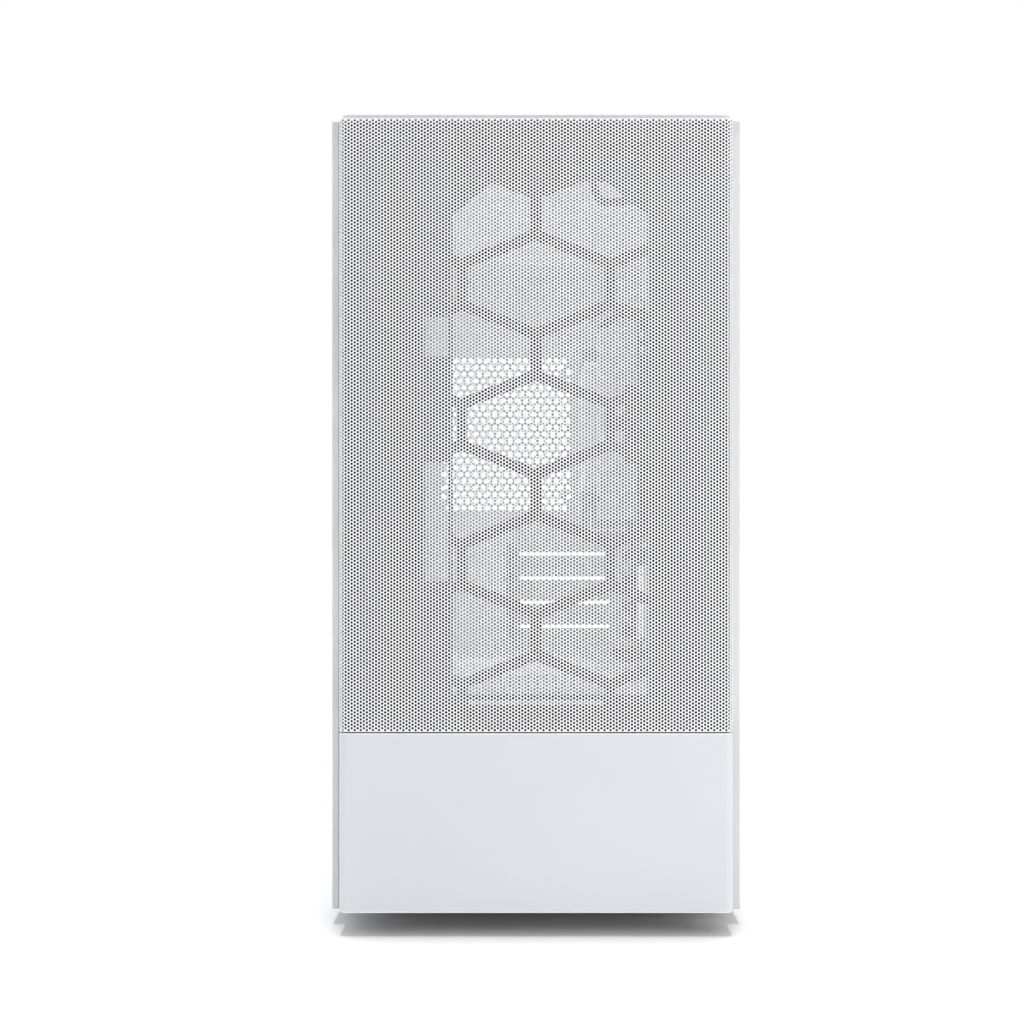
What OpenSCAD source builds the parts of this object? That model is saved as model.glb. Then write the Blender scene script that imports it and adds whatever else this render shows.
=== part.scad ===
// Desktop computer tower for a small board.
// The front faces -Y, the glass door is on -X and the board hangs on the +X side.
// The origin lies on the ground, under the middle of the box that holds the whole tower.

/* [Overall] */
// Width over the glass door and the side panel
case_w = 217; // [214:1:280]
// Height from the ground to the top of the roof
case_h = 430; // [428:1:540]
// Depth from the front mesh to the outer face of the rear wall
case_d = 390; // [385:1:480]
// Height of the feet
foot_h = 8; // [8:0.5:16]
// Length of a thumbscrew's head, the last thing behind the rear wall
thumb_head = 8.7; // [6:0.1:12]

/* [Sheet metal] */
// Thickness of the chassis sheet
sheet = 1; // [0.8:0.1:1.3]
// Width of the chassis' folded flanges
flange = 12; // [9:0.5:16]

/* [Front] */
// Width of the front panel
front_w = 203.5; // [196:0.5:210]
// Depth of the front panel, from its face to the chassis' front edge
front_deep = 20; // [16:0.5:26]
// How far the front plate lies behind the front face
plate_set = 28; // [26:0.5:34]
// Height of the smooth band under the mesh
band_h = 92.8; // [70:0.1:100]
// Height of the front panel's bottom edge above the underside of the floor pan
front_lift = 4; // [2:0.5:8]
// How far the front panel's top lies below the roof's top
front_drop = 9; // [6:0.5:14]
// Dark seam between the mesh and the band
seam = 0.6; // [0.4:0.1:1.2]
// Thickness of the perforated sheet
mesh_t = 1; // [0.8:0.1:1.5]
// Radius of the front panel's upright edges
edge_r = 4; // [2:0.5:8]
// Wall of the band and of the frame behind the mesh
cover_wall = 2; // [1.5:0.1:3]

/* [Window in the front plate] */
// Left edge of the window, from the middle
window_left = -45; // [-60:1:-30]
// Right edge of the window, from the middle
window_right = 60; // [45:1:75]
// Lower edge of the window, from the ground
window_low = 121; // [119:1:140]
// Upper edge of the window, from the ground
window_high = 397; // [380:1:400]
// Width of one hexagon of the lattice
hex_w = 80; // [60:1:100]
// Height between two rows of hexagons
hex_row = 37.7; // [30:0.1:45]
// Length of a hexagon's upright side
hex_side = 22; // [16:0.5:28]
// Width of the lattice bars
strut_w = 6; // [4:0.5:9]

/* [Door and side panel] */
// Thickness of the glass
glass_t = 4; // [3:0.5:5]
// Gap between the glass and the chassis side
door_gap = 1; // [0.8:0.1:3]
// Radius of the hinge pins
pin_r = 1.5; // [1.2:0.1:1.6]
// Running clearance round a pin or a shaft
run = 0.05; // [0.03:0.01:0.1]
// Gap between pieces that move past each other
gap = 0.4; // [0.3:0.05:0.5]
// Depth of the side panel's folded edges
fold = 3.6; // [3:0.1:4]

/* [Roof and front sockets] */
// Thickness of the roof cover
roof_t = 3; // [2.5:0.1:4]
// How far the roof cover's edge stays in from the chassis side
roof_in = 0.5; // [0.3:0.1:3]
// Depth of the roof's front strip, which holds the buttons and sockets
strip_deep = 46; // [44:1:60]
// Radius of the power button
power_r = 8; // [6:0.5:9]
// Radius of the reset button
reset_r = 3.6; // [3:0.1:5]
// Travel of the power button
power_travel = 1.5; // [1:0.1:1.6]
// Travel of the reset button
reset_travel = 1; // [0.6:0.1:1.4]
// Radius of the audio jack's bore
jack_r = 1.8; // [1.75:0.01:1.85]

/* [Board] */
// Side of the square board
board_len = 244; // [226:1:244]
// Thickness of the board
board_t = 1.6; // [1.2:0.1:2]
// Height of the standoffs
standoff_h = 6.5; // [6:0.1:8]
// Room for cables between the tray and the chassis side
cable_room = 14.5; // [13.5:0.5:20]
// Height of the shroud over the power supply, from the ground
shroud_z = 115; // [113:1:118]
// Number of expansion slots
slot_count = 4; // [1:1:4]

/* [Cooler] */
// Side of the cooler's fan
cooler_size = 92; // [80:1:92]
// Height of the cooler's fins
cooler_fins = 23; // [18:1:30]
// Depth of the cooler's fan
cooler_fan_t = 14; // [12:1:16]

/* [Power supply] */
// Length of the power supply
psu_l = 140; // [125:1:150]
// Middle of the power supply, from the middle of the tower
psu_x = 4; // [-8:1:8]
// Height of the bosses that it stands on
psu_lift = 4; // [3:0.5:6]
// Width of the dust filter under it
filter_w = 124; // [110:1:126]
// Length of the dust filter under it
filter_l = 160; // [140:1:170]

/* [Drives] */
// Height of one bay
bay_h = 33; // [31:0.5:38]

/* [Fan places and screws] */
// Radius of a fan's screw hole
fan_hole_r = 2.2; // [2.1:0.05:2.5]
// Distance between the holes in the rear vent
vent_pitch = 6.5; // [6:0.5:11]
// Sheet left between two holes in the rear vent
vent_web = 2.2; // [1.5:0.1:2.6]

/* [Hidden] */
$fn = 48;

// Sizes that the pieces share with others of their kind
port_open_h = 158.75;
port_open_w = 44.45;
slot_pitch = 20.32;
module_len = 133.35;
psu_w = 150;
psu_h = 86;
psu_hole_w = 138;
psu_hole_h = 74;
drive_w = 101.6;
drive_l = 147;
drive_h = 26.1;
fan_size = 120;
fan_pitch = 105;
fan_t = 25;

// Holes and shanks of the screws
thumb_hole_r = 1.7;
slot_hole_r = 1.8;
shank_r = 1.6;

white = [0.92, 0.93, 0.94];
inner_white = [0.86, 0.87, 0.88];
black = [0.09, 0.09, 0.10];
steel = [0.72, 0.73, 0.75];

// The box of the whole tower is centred on the origin
front_y = -(case_d + sheet + gap + thumb_head) / 2;
rear_y = front_y + case_d;
left_x = -case_w / 2;
right_x = case_w / 2;
side_room = glass_t + door_gap;
frame_x = case_w / 2 - side_room;
chassis_y = front_y + front_deep;
plate_y = front_y + plate_set;
plate_back = plate_y + sheet;
rear_in = rear_y - sheet;
floor_z = foot_h;
deck_z = floor_z + sheet;
frame_top = case_h - roof_t;
top_in = frame_top - sheet;
flange_y0 = plate_back + 1;
flange_y1 = rear_in - flange - 1;
front_z0 = floor_z + front_lift;
front_z1 = case_h - front_drop;
band_top = front_z0 + band_h;
mesh_z0 = band_top + seam;
clip_reach = 3;

// The floor filter's rails hang this far under the floor pan
rail_drop = 4;
rim_w = 6;
net_t = 0.8;

// Board, tray and rear wall
tray_x = frame_x - cable_room - sheet;
board_x = tray_x - standoff_h - board_t;
board_y1 = rear_in - 1.5;
board_z0 = shroud_z + 6;
board_z1 = board_z0 + board_len;
port_x1 = board_x + 4.1;
port_x0 = port_x1 - port_open_w;
port_z0 = board_z1 - port_open_h;
first_slot_z = port_z0 - 11.9;
cover_h = 18.2;
cover_open_h = 13.4;
cover_x0 = port_x1 - 108;
vent_x = port_x0 - 4.5 - fan_size / 2;
vent_z = board_z1 - 70;
vent_w = 116;
vent_h = 136;
shield_t = 0.6;
cpu_down = 75;
cpu_forward = 85;
processor_h = 7.5;
memory_forward = [150, 169];
// Rear ports: how far down the edge each starts, its length and its height
ports = [
    [11, 15, 30], [30, 15, 16], [50, 15, 16], [70, 15, 30],
    [90, 17, 30], [112, 15, 16], [132, 18, 34]
];
plug_forward = 236;

// Power supply
psu_z = deck_z + psu_lift;
psu_y = rear_in - psu_l;
psu_fan_y = psu_y + 72;
psu_wall = 1;
module_z = psu_z + 56;
module_x = psu_x - 32;
inlet_x = module_x + 9;
switch_x = module_x - 18;
rocker_y = rear_y - 1.5;
rocker_tilt = 8;
rocker_r = 9.8;
rocker_w = 13;

// Drives
cage_y0 = plate_back + 6;
cage_wall = 1;
bay_in = drive_w + 6;
cage_deep = bay_in + 2 * cage_wall;
cage_x1 = psu_x + 82;
cage_x0 = cage_x1 - drive_l - 8;

// Roof
roof_x = frame_x - roof_in;
strip_y = chassis_y + 0.5 * strip_deep - 1;
filter_y0 = chassis_y + strip_deep;
filter_y1 = rear_y - 14;
filter_x = roof_x - 10;
power_x = tray_x - 12;
reset_x = power_x - 20;
usb_x = [reset_x - 24, reset_x - 44];
jack_x = [reset_x - 62, reset_x - 74];
io_z = frame_top - 17;
io_t = 1.6;
switch_h = 4;

// Door
stile_r = glass_t / 2 + 0.2;
hinge_x = left_x + stile_r;
hinge_y = rear_y - 4;
ear_t = 1.9;
door_z0 = floor_z + ear_t + gap;
door_z1 = frame_top - ear_t - gap;
stile_w = 10;

// ---------- helpers ----------

// A box between two corners
module block(low, high) {
    translate(low)
        cube([high[0] - low[0], high[1] - low[1], high[2] - low[2]]);
}

// A rectangle between two corners
module area(low, high) {
    translate(low)
        square([high[0] - low[0], high[1] - low[1]]);
}

// A rounded rectangle round the origin
module round_area(size, r) {
    square([size[0] - 2 * r, size[1]], center = true);
    square([size[0], size[1] - 2 * r], center = true);
    for (sx = [-1, 1], sy = [-1, 1])
        translate([sx * (size[0] / 2 - r), sy * (size[1] / 2 - r)])
            circle(r);
}

// An outline in X and Z, extruded backwards by t from the plane at y
module upright(y, t) {
    translate([0, y + t, 0])
        rotate([90, 0, 0])
            linear_extrude(t)
                children();
}

// An outline in Y and Z, extruded to the right by t from the plane at x
module sideways(x, t) {
    translate([x, 0, 0])
        rotate([90, 0, 90])
            linear_extrude(t)
                children();
}

// An outline in X and Y, extruded upwards by t from the plane at z
module flat(z, t) {
    translate([0, 0, z])
        linear_extrude(t)
            children();
}

// Hexagonal holes on a staggered grid, whose middles lie inside a rectangle of size
module hex_holes(size, pitch, web) {
    row = pitch * sqrt(3) / 2;
    rows = floor((size[1] / 2 - pitch / 2) / row);
    for (j = [-rows : rows]) {
        shift = abs(j) % 2 * pitch / 2;
        columns = floor((size[0] / 2 - pitch / 2 - shift) / pitch);
        for (i = [-columns - 2 * shift / pitch : columns])
            translate([i * pitch + shift, j * row])
                rotate(30)
                    circle((pitch - web) / sqrt(3), $fn = 6);
    }
}

// Four places at the corners of a rectangle
module corners(dx, dy) {
    for (sx = [-1, 1], sy = [-1, 1])
        translate([sx * dx / 2, sy * dy / 2])
            children();
}

// A screw along +Z, with its head above the origin
module screw(head_r, head_h, shank_r, shank_l) {
    cylinder(h = head_h, r = head_r);
    translate([0, 0, -shank_l])
        cylinder(h = shank_l, r = shank_r);
}

// The frame of the board: X runs down from its top edge, Y forward from its rear edge, Z off it
module on_board(down = 0, forward = 0, off = 0) {
    translate([board_x - off, board_y1 - forward, board_z1 - down])
        rotate([180, 0, 0])
            rotate([0, -90, 0])
                children();
}

// A fan's fixed frame: a square ring with a spider that holds the shaft's bush
module fan_frame(size, t, hub_r, bolts, shaft_r) {
    spider_t = 2.5;
    linear_extrude(t)
        difference() {
            round_area([size, size], 5);
            circle(size / 2 - 2);
            corners(bolts, bolts)
                circle(fan_hole_r);
        }
    linear_extrude(spider_t)
        difference() {
            union() {
                circle(hub_r);
                for (a = [45, 135])
                    rotate(a)
                        square([size + 1, 4], center = true);
            }
            circle(shaft_r + run);
        }
}

// A fan's rotor: a hub on its shaft, with flat tilted blades
module fan_rotor(size, t, hub_r, blades, shaft_r) {
    low = 3.2;
    high = t - 1.5;
    tip = size / 2 - 3.5;
    blade_t = 1.4;
    translate([0, 0, low])
        cylinder(h = high - low, r = hub_r);
    translate([0, 0, 0.5])
        cylinder(h = low - 0.3, r = shaft_r);
    intersection() {
        translate([0, 0, low])
            cylinder(h = high - low, r = tip);
        for (i = [0 : blades - 1])
            rotate(i * 360 / blades)
                translate([hub_r - 1, 0, (low + high) / 2])
                    rotate([38, 0, 0])
                        translate([0, -size * 0.14, -blade_t / 2])
                            cube([tip - hub_r + 6, size * 0.28, blade_t]);
    }
}

// A place on the smooth curve through the points p, at t from point i to the next
function spot(p, i, t) =
    let (a = p[i - 1], b = p[i], c = p[i + 1], d = p[i + 2])
    0.5 * (2 * b + (c - a) * t + (2 * a - 5 * b + 4 * c - d) * t * t
        + (3 * b - a - 3 * c + d) * t * t * t);

// The way of a cable through the points p, straight in its first and last stretches
function path(p, steps) = concat(
    [p[0]],
    [for (i = [1 : len(p) - 3], s = [0 : steps - 1]) spot(p, i, s / steps)],
    [p[len(p) - 2], p[len(p) - 1]]
);

function unit(v) = v / norm(v);

// One ring of a tube, square to the way it runs
function ring(way, i, r, sides) =
    let (
        ahead = unit(way[min(i + 1, len(way) - 1)] - way[max(i - 1, 0)]),
        side = unit(cross(ahead, [0.36, 0.8, 0.48])),
        up = cross(side, ahead)
    )
    [for (k = [0 : sides - 1])
        way[i] + r * (cos(360 * k / sides) * side + sin(360 * k / sides) * up)];

// A cable of radius r through the points p
module cable(p, r, steps = 4, sides = 8) {
    way = path(p, steps);
    last = len(way) - 1;
    rings = [for (i = [0 : last]) each ring(way, i, r, sides)];
    walls = [for (i = [0 : last - 1], k = [0 : sides - 1])
        let (a = i * sides, b = a + sides, n = (k + 1) % sides)
        each [[a + k, a + n, b + n], [a + k, b + n, b + k]]];
    start = [for (k = [sides - 1 : -1 : 0]) k];
    end = [for (k = [0 : sides - 1]) last * sides + k];
    polyhedron(rings, concat([start], walls, [end]));
}

// ---------- chassis ----------

// Outline of a square of fan screws and the round opening between them, crossed by a spider
module fan_opening() {
    difference() {
        circle(fan_size / 2 - 3);
        circle(fan_size / 6);
        for (a = [45, 135])
            rotate(a)
                square([fan_size, 6], center = true);
        difference() {
            circle(fan_size / 3 + 2);
            circle(fan_size / 3 - 2);
        }
    }
    corners(fan_pitch, fan_pitch)
        circle(fan_hole_r);
}

module floor_pan() {
    vent_n = 9;
    vent_step = 11;
    vent_slot = [104, 7];
    boss = [62, 60];
    rail_x = filter_w / 2 + gap;
    rail_y0 = rear_y - filter_l - 6;
    rail_y1 = rear_y - 2;
    rail_z0 = floor_z - rail_drop;
    color(inner_white) {
        flat(floor_z, sheet)
            difference() {
                area([-frame_x, chassis_y], [frame_x, rear_y]);
                for (i = [0 : vent_n - 1])
                    translate([psu_x, psu_fan_y + (i - (vent_n - 1) / 2) * vent_step])
                        round_area(vent_slot, vent_slot[1] / 2 - 0.1);
            }
        for (s = [-1, 1])
            sideways(s > 0 ? frame_x - sheet : -frame_x, sheet)
                area([flange_y0, deck_z], [flange_y1, deck_z + flange]);
        for (sx = [-1, 1], sy = [-1, 1])
            translate([psu_x + sx * boss[0], psu_fan_y + sy * boss[1], deck_z])
                cylinder(h = psu_lift, r = 6);
        for (s = [-1, 1]) {
            web = psu_x + s * (rail_x + sheet / 2);
            lip = psu_x + s * (rail_x - 0.75);
            block([web - sheet / 2, rail_y0, rail_z0], [web + sheet / 2, rail_y1, floor_z]);
            block([lip - 1.25, rail_y0, rail_z0], [lip + 1.25, rail_y1, rail_z0 + sheet]);
        }
    }
}

module rear_panel() {
    psu_top = psu_z + psu_h;
    ledge_z0 = first_slot_z - (slot_count - 0.5) * slot_pitch;
    color(inner_white) {
        upright(rear_in, sheet)
            difference() {
                area([-frame_x, deck_z], [frame_x, top_in]);
                area([port_x0, port_z0], [port_x1, board_z1]);
                for (i = [0 : slot_count - 1])
                    area([cover_x0 + 3, slot_z(i) - cover_open_h / 2],
                        [port_x1 - 2, slot_z(i) + cover_open_h / 2]);
                area([psu_x - psu_w / 2 + 10, psu_z + 2], [psu_x + psu_w / 2 - 2, psu_top - 10]);
                translate([psu_x, psu_z + psu_h / 2])
                    corners(psu_hole_w, psu_hole_h)
                        circle(1.9);
                for (z = panel_screw_z())
                    translate([panel_screw_x(), z])
                        circle(thumb_hole_r);
                translate([vent_x, vent_z])
                    vent_outline();
            }
        for (s = [-1, 1])
            sideways(s > 0 ? frame_x - sheet : -frame_x, sheet)
                area([rear_in - flange, deck_z], [rear_in, top_in]);
        difference() {
            block([cover_x0 - 2, rear_in - flange - 1, ledge_z0],
                [cover_x0 - 1, rear_in, first_slot_z + slot_pitch / 2 - 1]);
            for (i = [0 : slot_count - 1])
                translate([cover_x0 - 3, rear_in - flange / 2 - 1, slot_z(i)])
                    rotate([0, 90, 0])
                        cylinder(h = 3, r = thumb_hole_r);
        }
    }
}

// Outline of the rear vent, with a fan's four screw holes in its corners
module vent_outline() {
    difference() {
        intersection() {
            hex_holes([vent_w, vent_h], vent_pitch, vent_web);
            square([vent_w, vent_h], center = true);
        }
        corners(fan_pitch, fan_pitch)
            circle(6);
    }
    corners(fan_pitch, fan_pitch)
        circle(fan_hole_r);
}

// Height of the middle of an expansion slot, counted down from the top one
function slot_z(i) = first_slot_z - i * slot_pitch;

module top_frame() {
    middle = (filter_y0 + filter_y1) / 2;
    color(inner_white) {
        flat(top_in, sheet)
            difference() {
                area([-frame_x, chassis_y], [frame_x, rear_y]);
                for (s = [-1, 1])
                    translate([0, middle + s * (fan_size / 2 + 2)])
                        fan_opening();
                io_holes();
            }
        for (s = [-1, 1])
            sideways(s > 0 ? frame_x - sheet : -frame_x, sheet)
                area([flange_y0, top_in - flange], [flange_y1, top_in]);
    }
}

// Outlines of the holes for the buttons and the sockets
module io_holes() {
    translate([power_x, strip_y])
        circle(power_r + gap);
    translate([reset_x, strip_y])
        circle(reset_r + gap);
    for (x = usb_x)
        translate([x, strip_y])
            square([15, 7.6], center = true);
    for (x = jack_x)
        translate([x, strip_y])
            circle(3.6);
}

// One opening of the lattice, smaller than the cell by half a bar all round
module cell() {
    slope = (hex_row - hex_side) / (hex_w / 2);
    lift = strut_w / 2 * sqrt(1 + slope * slope);
    top = hex_side / 2 + slope * hex_w / 2 - lift;
    side = hex_w / 2 - strut_w / 2;
    shoulder = top - slope * side;
    polygon([
        [side, -shoulder], [side, shoulder], [0, top],
        [-side, shoulder], [-side, -shoulder], [0, -top]
    ]);
}

module front_plate() {
    cut_x = 22;
    cut_z = 18;
    first_row = 17.5;
    x0 = window_left;
    x1 = window_right;
    z0 = window_low;
    z1 = window_high;
    rows = ceil((z1 - z0) / hex_row) + 1;
    color(black) {
        upright(plate_y, sheet)
            difference() {
                area([-frame_x, deck_z], [frame_x, top_in]);
                intersection() {
                    polygon([
                        [x0, z0], [x1, z0], [x1, z1 - cut_z], [x1 - cut_x, z1],
                        [x0 + cut_x, z1], [x0, z1 - cut_z]
                    ]);
                    for (j = [0 : rows], i = [-2 : 2])
                        translate([
                            (i + (j % 2) / 2) * hex_w + hex_w / 2,
                            z1 - first_row - j * hex_row
                        ])
                            cell();
                }
                area([x0 - 15, z0 + 182], [x0 - 2, z0 + 203]);
                area([x0 - 15, z0 + 61], [x0 - 2, z0 + 125]);
                area([-36, shroud_z + 0.5], [36, shroud_z + 3]);
                for (p = clip_places())
                    translate(p)
                        circle(3.4);
            }
        for (s = [-1, 1])
            sideways(s > 0 ? frame_x - sheet : -frame_x, sheet)
                area([chassis_y, deck_z], [plate_y, top_in]);
        for (z = [deck_z, top_in - sheet])
            block([-frame_x, chassis_y, z], [frame_x, plate_y, z + sheet]);
    }
}

// Where the front panel's clips snap into the front plate
function clip_places() = [
    for (s = [-1, 1], z = [front_z0 + 24, band_top + 40, front_z1 - 30])
        [s * (front_w / 2 - 5.5), z]
];

module motherboard_tray() {
    cpu_y = board_y1 - cpu_forward;
    cpu_z = board_z1 - cpu_down;
    color(inner_white)
        sideways(tray_x, sheet)
            difference() {
                area([plate_back, shroud_z], [rear_in, top_in]);
                translate([cpu_y, cpu_z])
                    round_area([104, 92], 5);
                for (z = cable_hole_z())
                    translate([cable_hole_y(), z])
                        round_area(cable_hole, cable_hole_r);
                translate([board_y1 - 28, board_z1 + 27])
                    round_area([34, 18], 8.9);
                translate([plate_back + 40, top_in - 26])
                    round_area([30, 14], 6.9);
                for (p = board_holes())
                    translate([board_y1 - p[1], board_z1 - p[0]])
                        circle(1.6);
            }
}

cable_hole = [18, 56];
cable_hole_r = 8.9;
function cable_hole_y() = board_y1 - board_len - 14;
function cable_hole_z() = [board_z0 + 34, board_z1 - 76];
// Screw places on the board: down from its top edge, forward from its rear edge
function board_holes() = [
    for (down = [6.35, 163.8, board_len - 9], forward = [10.16, 142, board_len - 7])
        [down, forward]
];

module psu_shroud() {
    wall_x = -frame_x + 5;
    color(inner_white) {
        flat(shroud_z - sheet, sheet)
            difference() {
                area([wall_x, plate_back], [tray_x + sheet, rear_in]);
                translate([psu_x - 14, plate_back + 100])
                    hex_holes([124, 124], 12, 3.4);
                translate([psu_x - 14, rear_in - 60])
                    hex_holes([124, 60], 12, 3.4);
            }
        sideways(wall_x, sheet)
            area([plate_back + clip_reach + gap, deck_z], [rear_in, shroud_z - sheet]);
    }
}

module drive_cage() {
    top = deck_z + 2 * bay_h + cage_wall;
    color(steel)
        sideways(cage_x0, cage_x1 - cage_x0)
            difference() {
                area([cage_y0, deck_z], [cage_y0 + cage_deep, top]);
                for (i = [0, 1])
                    area(
                        [cage_y0 + cage_wall, deck_z + cage_wall + i * bay_h],
                        [cage_y0 + cage_wall + bay_in, deck_z + (i + 1) * bay_h]
                    );
            }
}

module drive_caddies() {
    rail = 2;
    color(black)
        for (i = [0, 1]) {
            z = deck_z + cage_wall + i * bay_h;
            y0 = cage_y0 + cage_wall + 0.5;
            y1 = cage_y0 + cage_wall + bay_in - 0.5;
            sideways(cage_x0 + 2, cage_x1 - cage_x0 - 2)
                difference() {
                    area([y0, z], [y1, z + 18]);
                    area([y0 + rail, z + rail], [y1 - rail, z + 19]);
                }
            block([cage_x0 + 0.5, y0, z], [cage_x0 + 2, y1, z + 26]);
        }
}

module hard_drive() {
    z = deck_z + cage_wall + 2;
    y = cage_y0 + cage_wall + 3;
    color(steel)
        difference() {
            block([cage_x0 + 4, y, z], [cage_x0 + 4 + drive_l, y + drive_w, z + drive_h]);
            block([cage_x0 + drive_l - 4, y + 8, z - 1],
                [cage_x0 + drive_l + 5, y + 44, z + 7]);
            translate([0, 0, z + drive_h - 1])
                linear_extrude(2)
                    difference() {
                        area([cage_x0 + 7, y + 3], [cage_x0 + 1 + drive_l, y + drive_w - 3]);
                        area([cage_x0 + 9, y + 5], [cage_x0 - 1 + drive_l, y + drive_w - 5]);
                    }
        }
}

module solid_state_drive() {
    color(black)
        translate([tray_x + sheet, board_y1 - 90, board_z0 + 60])
            rotate([90, 0, 90])
                linear_extrude(7)
                    round_area([69.85, 100], 3);
}

module feet() {
    color(black)
        for (sx = [-1, 1], y = [chassis_y + 48, rear_y - 42])
            translate([sx * (frame_x - 19), y, 0]) {
                cylinder(h = 2, r1 = 11.5, r2 = 12.5);
                translate([0, 0, 2])
                    cylinder(h = foot_h - 2, r = 13);
            }
}

module slot_covers() {
    color(inner_white)
        for (i = [0 : slot_count - 1]) {
            z = slot_z(i);
            upright(rear_in - sheet, sheet)
                difference() {
                    area([cover_x0 - 1, z - cover_h / 2], [port_x1, z + cover_h / 2]);
                    translate([cover_x0 + 48, z])
                        round_area([76, 2.6], 1.25);
                }
            difference() {
                block([cover_x0 - 1, rear_in - flange - 1, z - cover_h / 2],
                    [cover_x0, rear_in - sheet, z + cover_h / 2]);
                translate([cover_x0 - 2, rear_in - flange / 2 - 1, z])
                    rotate([0, 90, 0])
                        cylinder(h = 3, r = slot_hole_r);
            }
        }
}

module slot_screws() {
    color(steel)
        for (i = [0 : slot_count - 1])
            translate([cover_x0, rear_in - flange / 2 - 1, slot_z(i)])
                rotate([0, 90, 0])
                    screw(3.6, 3, shank_r, 5);
}

module grommets() {
    lip = 2;
    color(black)
        for (z = cable_hole_z())
            sideways(tray_x - 1, sheet + 2)
                translate([cable_hole_y(), z])
                    difference() {
                        round_area(cable_hole, cable_hole_r);
                        round_area(cable_hole - [2 * lip, 2 * lip], cable_hole_r - lip);
                    }
}

// ---------- roof ----------

module roof_cover() {
    color(white)
        flat(frame_top, roof_t)
            difference() {
                translate([0, (chassis_y - 0.5 + rear_y) / 2])
                    round_area([2 * roof_x, rear_y - chassis_y + 0.5], 3);
                area([-filter_x, filter_y0], [filter_x, filter_y1]);
                io_holes();
            }
}

module top_filter() {
    x = filter_x - gap;
    y0 = filter_y0 + gap;
    y1 = filter_y1 - gap;
    color(white) {
        flat(frame_top + gap, net_t)
            area([-x, y0], [x, y1]);
        flat(frame_top + gap, roof_t - gap - 0.2)
            difference() {
                area([-x, y0], [x, y1]);
                area([-x + rim_w, y0 + rim_w], [x - rim_w, y1 - rim_w]);
            }
    }
}

// A button with a flange under the roof and a plunger that ends over its switch
module button(x, r, top, plunger_r, travel) {
    flange_top = top_in - gap;
    flange_low = flange_top - 1.5;
    plunger_low = io_z + io_t + switch_h + travel + 0.2;
    translate([x, strip_y, 0]) {
        translate([0, 0, flange_top])
            cylinder(h = top - flange_top, r = r);
        translate([0, 0, flange_low])
            cylinder(h = flange_top - flange_low, r = r + 1);
        translate([0, 0, plunger_low])
            cylinder(h = flange_low - plunger_low, r = plunger_r);
    }
}

module power_button() {
    color(white)
        button(power_x, power_r, case_h, 2, power_travel);
}

module reset_button() {
    color(black)
        button(reset_x, reset_r, case_h - 0.4, 1.5, reset_travel);
}

module front_io_board() {
    y0 = strip_y - 10;
    y1 = strip_y + 10;
    color(black) {
        flat(io_z, io_t)
            area([jack_x[1] - 8, y0], [power_x + 10, y1]);
        for (x = [power_x, reset_x])
            translate([x, strip_y, io_z + io_t + switch_h / 2])
                cube([7, 7, switch_h], center = true);
        block([usb_x[1] - 10, y1 - 4, io_z - 6], [usb_x[0] + 10, y1, io_z]);
    }
}

module usb_ports() {
    tall = case_h - 0.2 - io_z - io_t;
    color(steel)
        for (x = usb_x)
            translate([x, strip_y, io_z + io_t]) {
                difference() {
                    linear_extrude(tall)
                        square([14.4, 7], center = true);
                    translate([0, 0, 3])
                        linear_extrude(tall)
                            square([12.6, 5.2], center = true);
                }
                translate([-5.6, 0.4, 1])
                    cube([11.2, 2, tall - 2.5]);
            }
}

module audio_jacks() {
    tall = case_h - 0.2 - io_z - io_t;
    color(black)
        for (x = jack_x)
            translate([x, strip_y, io_z + io_t])
                difference() {
                    union() {
                        cylinder(h = tall, r = 3.4);
                        translate([-3.4, -5.5, 0])
                            cube([6.8, 11, tall - roof_t - sheet - 1.5]);
                    }
                    translate([0, 0, 2])
                        cylinder(h = tall, r = jack_r);
                }
}

// ---------- power supply ----------

module psu_housing() {
    low = [psu_x - psu_w / 2, psu_y, psu_z];
    high = [psu_x + psu_w / 2, rear_in, psu_z + psu_h];
    wall = [psu_wall, psu_wall, psu_wall];
    color(black)
        difference() {
            block(low, high);
            block(low + wall, high - wall);
            translate([psu_x, psu_fan_y, psu_z - 1])
                linear_extrude(psu_wall + 2)
                    difference() {
                        circle(58);
                        for (r = [16 : 12 : 52])
                            difference() {
                                circle(r + 1);
                                circle(r - 1);
                            }
                        square([116, 2.4], center = true);
                        square([2.4, 116], center = true);
                    }
            translate([module_x - 30.2, rear_in - 3, module_z - 12.2])
                cube([60.4, 6, 24.4]);
            upright(rear_in - psu_wall - 1, psu_wall + 2)
                translate([psu_x + 38, psu_z + psu_h / 2])
                    hex_holes([58, 62], vent_pitch, vent_web);
            upright(psu_y - 1, psu_wall + 2)
                translate([psu_x + 40, psu_z + 47])
                    round_area([48, 24], 6);
            translate([psu_x, 0, psu_z + psu_h / 2])
                upright(rear_in - psu_wall - 1, psu_wall + 2)
                    corners(psu_hole_w, psu_hole_h)
                        circle(slot_hole_r);
        }
}

module psu_screws() {
    color(steel)
        translate([psu_x, rear_y, psu_z + psu_h / 2])
            rotate([-90, 0, 0])
                corners(psu_hole_w, psu_hole_h)
                    screw(3.4, 2.2, 1.7, 6);
}

module psu_inlet() {
    color(black)
        translate([module_x, 0, module_z])
            difference() {
                union() {
                    block([-32, rear_in, -13], [32, rear_y + 1, 13]);
                    block([-30, rear_in - 16, -12], [30, rear_in, 12]);
                }
                block([9 - 12, rear_in - 12, -8.3], [9 + 12, rear_y + 2, 8.3]);
                block([-18 - rocker_w / 2 - 0.5, rear_in - 13, -rocker_r - 0.6],
                    [-18 + rocker_w / 2 + 0.5, rear_y + 2, rocker_r + 0.6]);
                translate([-18 - rocker_w / 2 - 2, rocker_y, 0])
                    rotate([0, 90, 0])
                        cylinder(h = rocker_w + 4, r = 1 + run);
            }
    color(steel)
        for (x = [-7, 0, 7])
            block([inlet_x + x - 1, rear_in - 12.5, module_z - (x == 0 ? -1 : 5)],
                [inlet_x + x + 1, rear_y - 2, module_z + (x == 0 ? 5 : -1)]);
}

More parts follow.
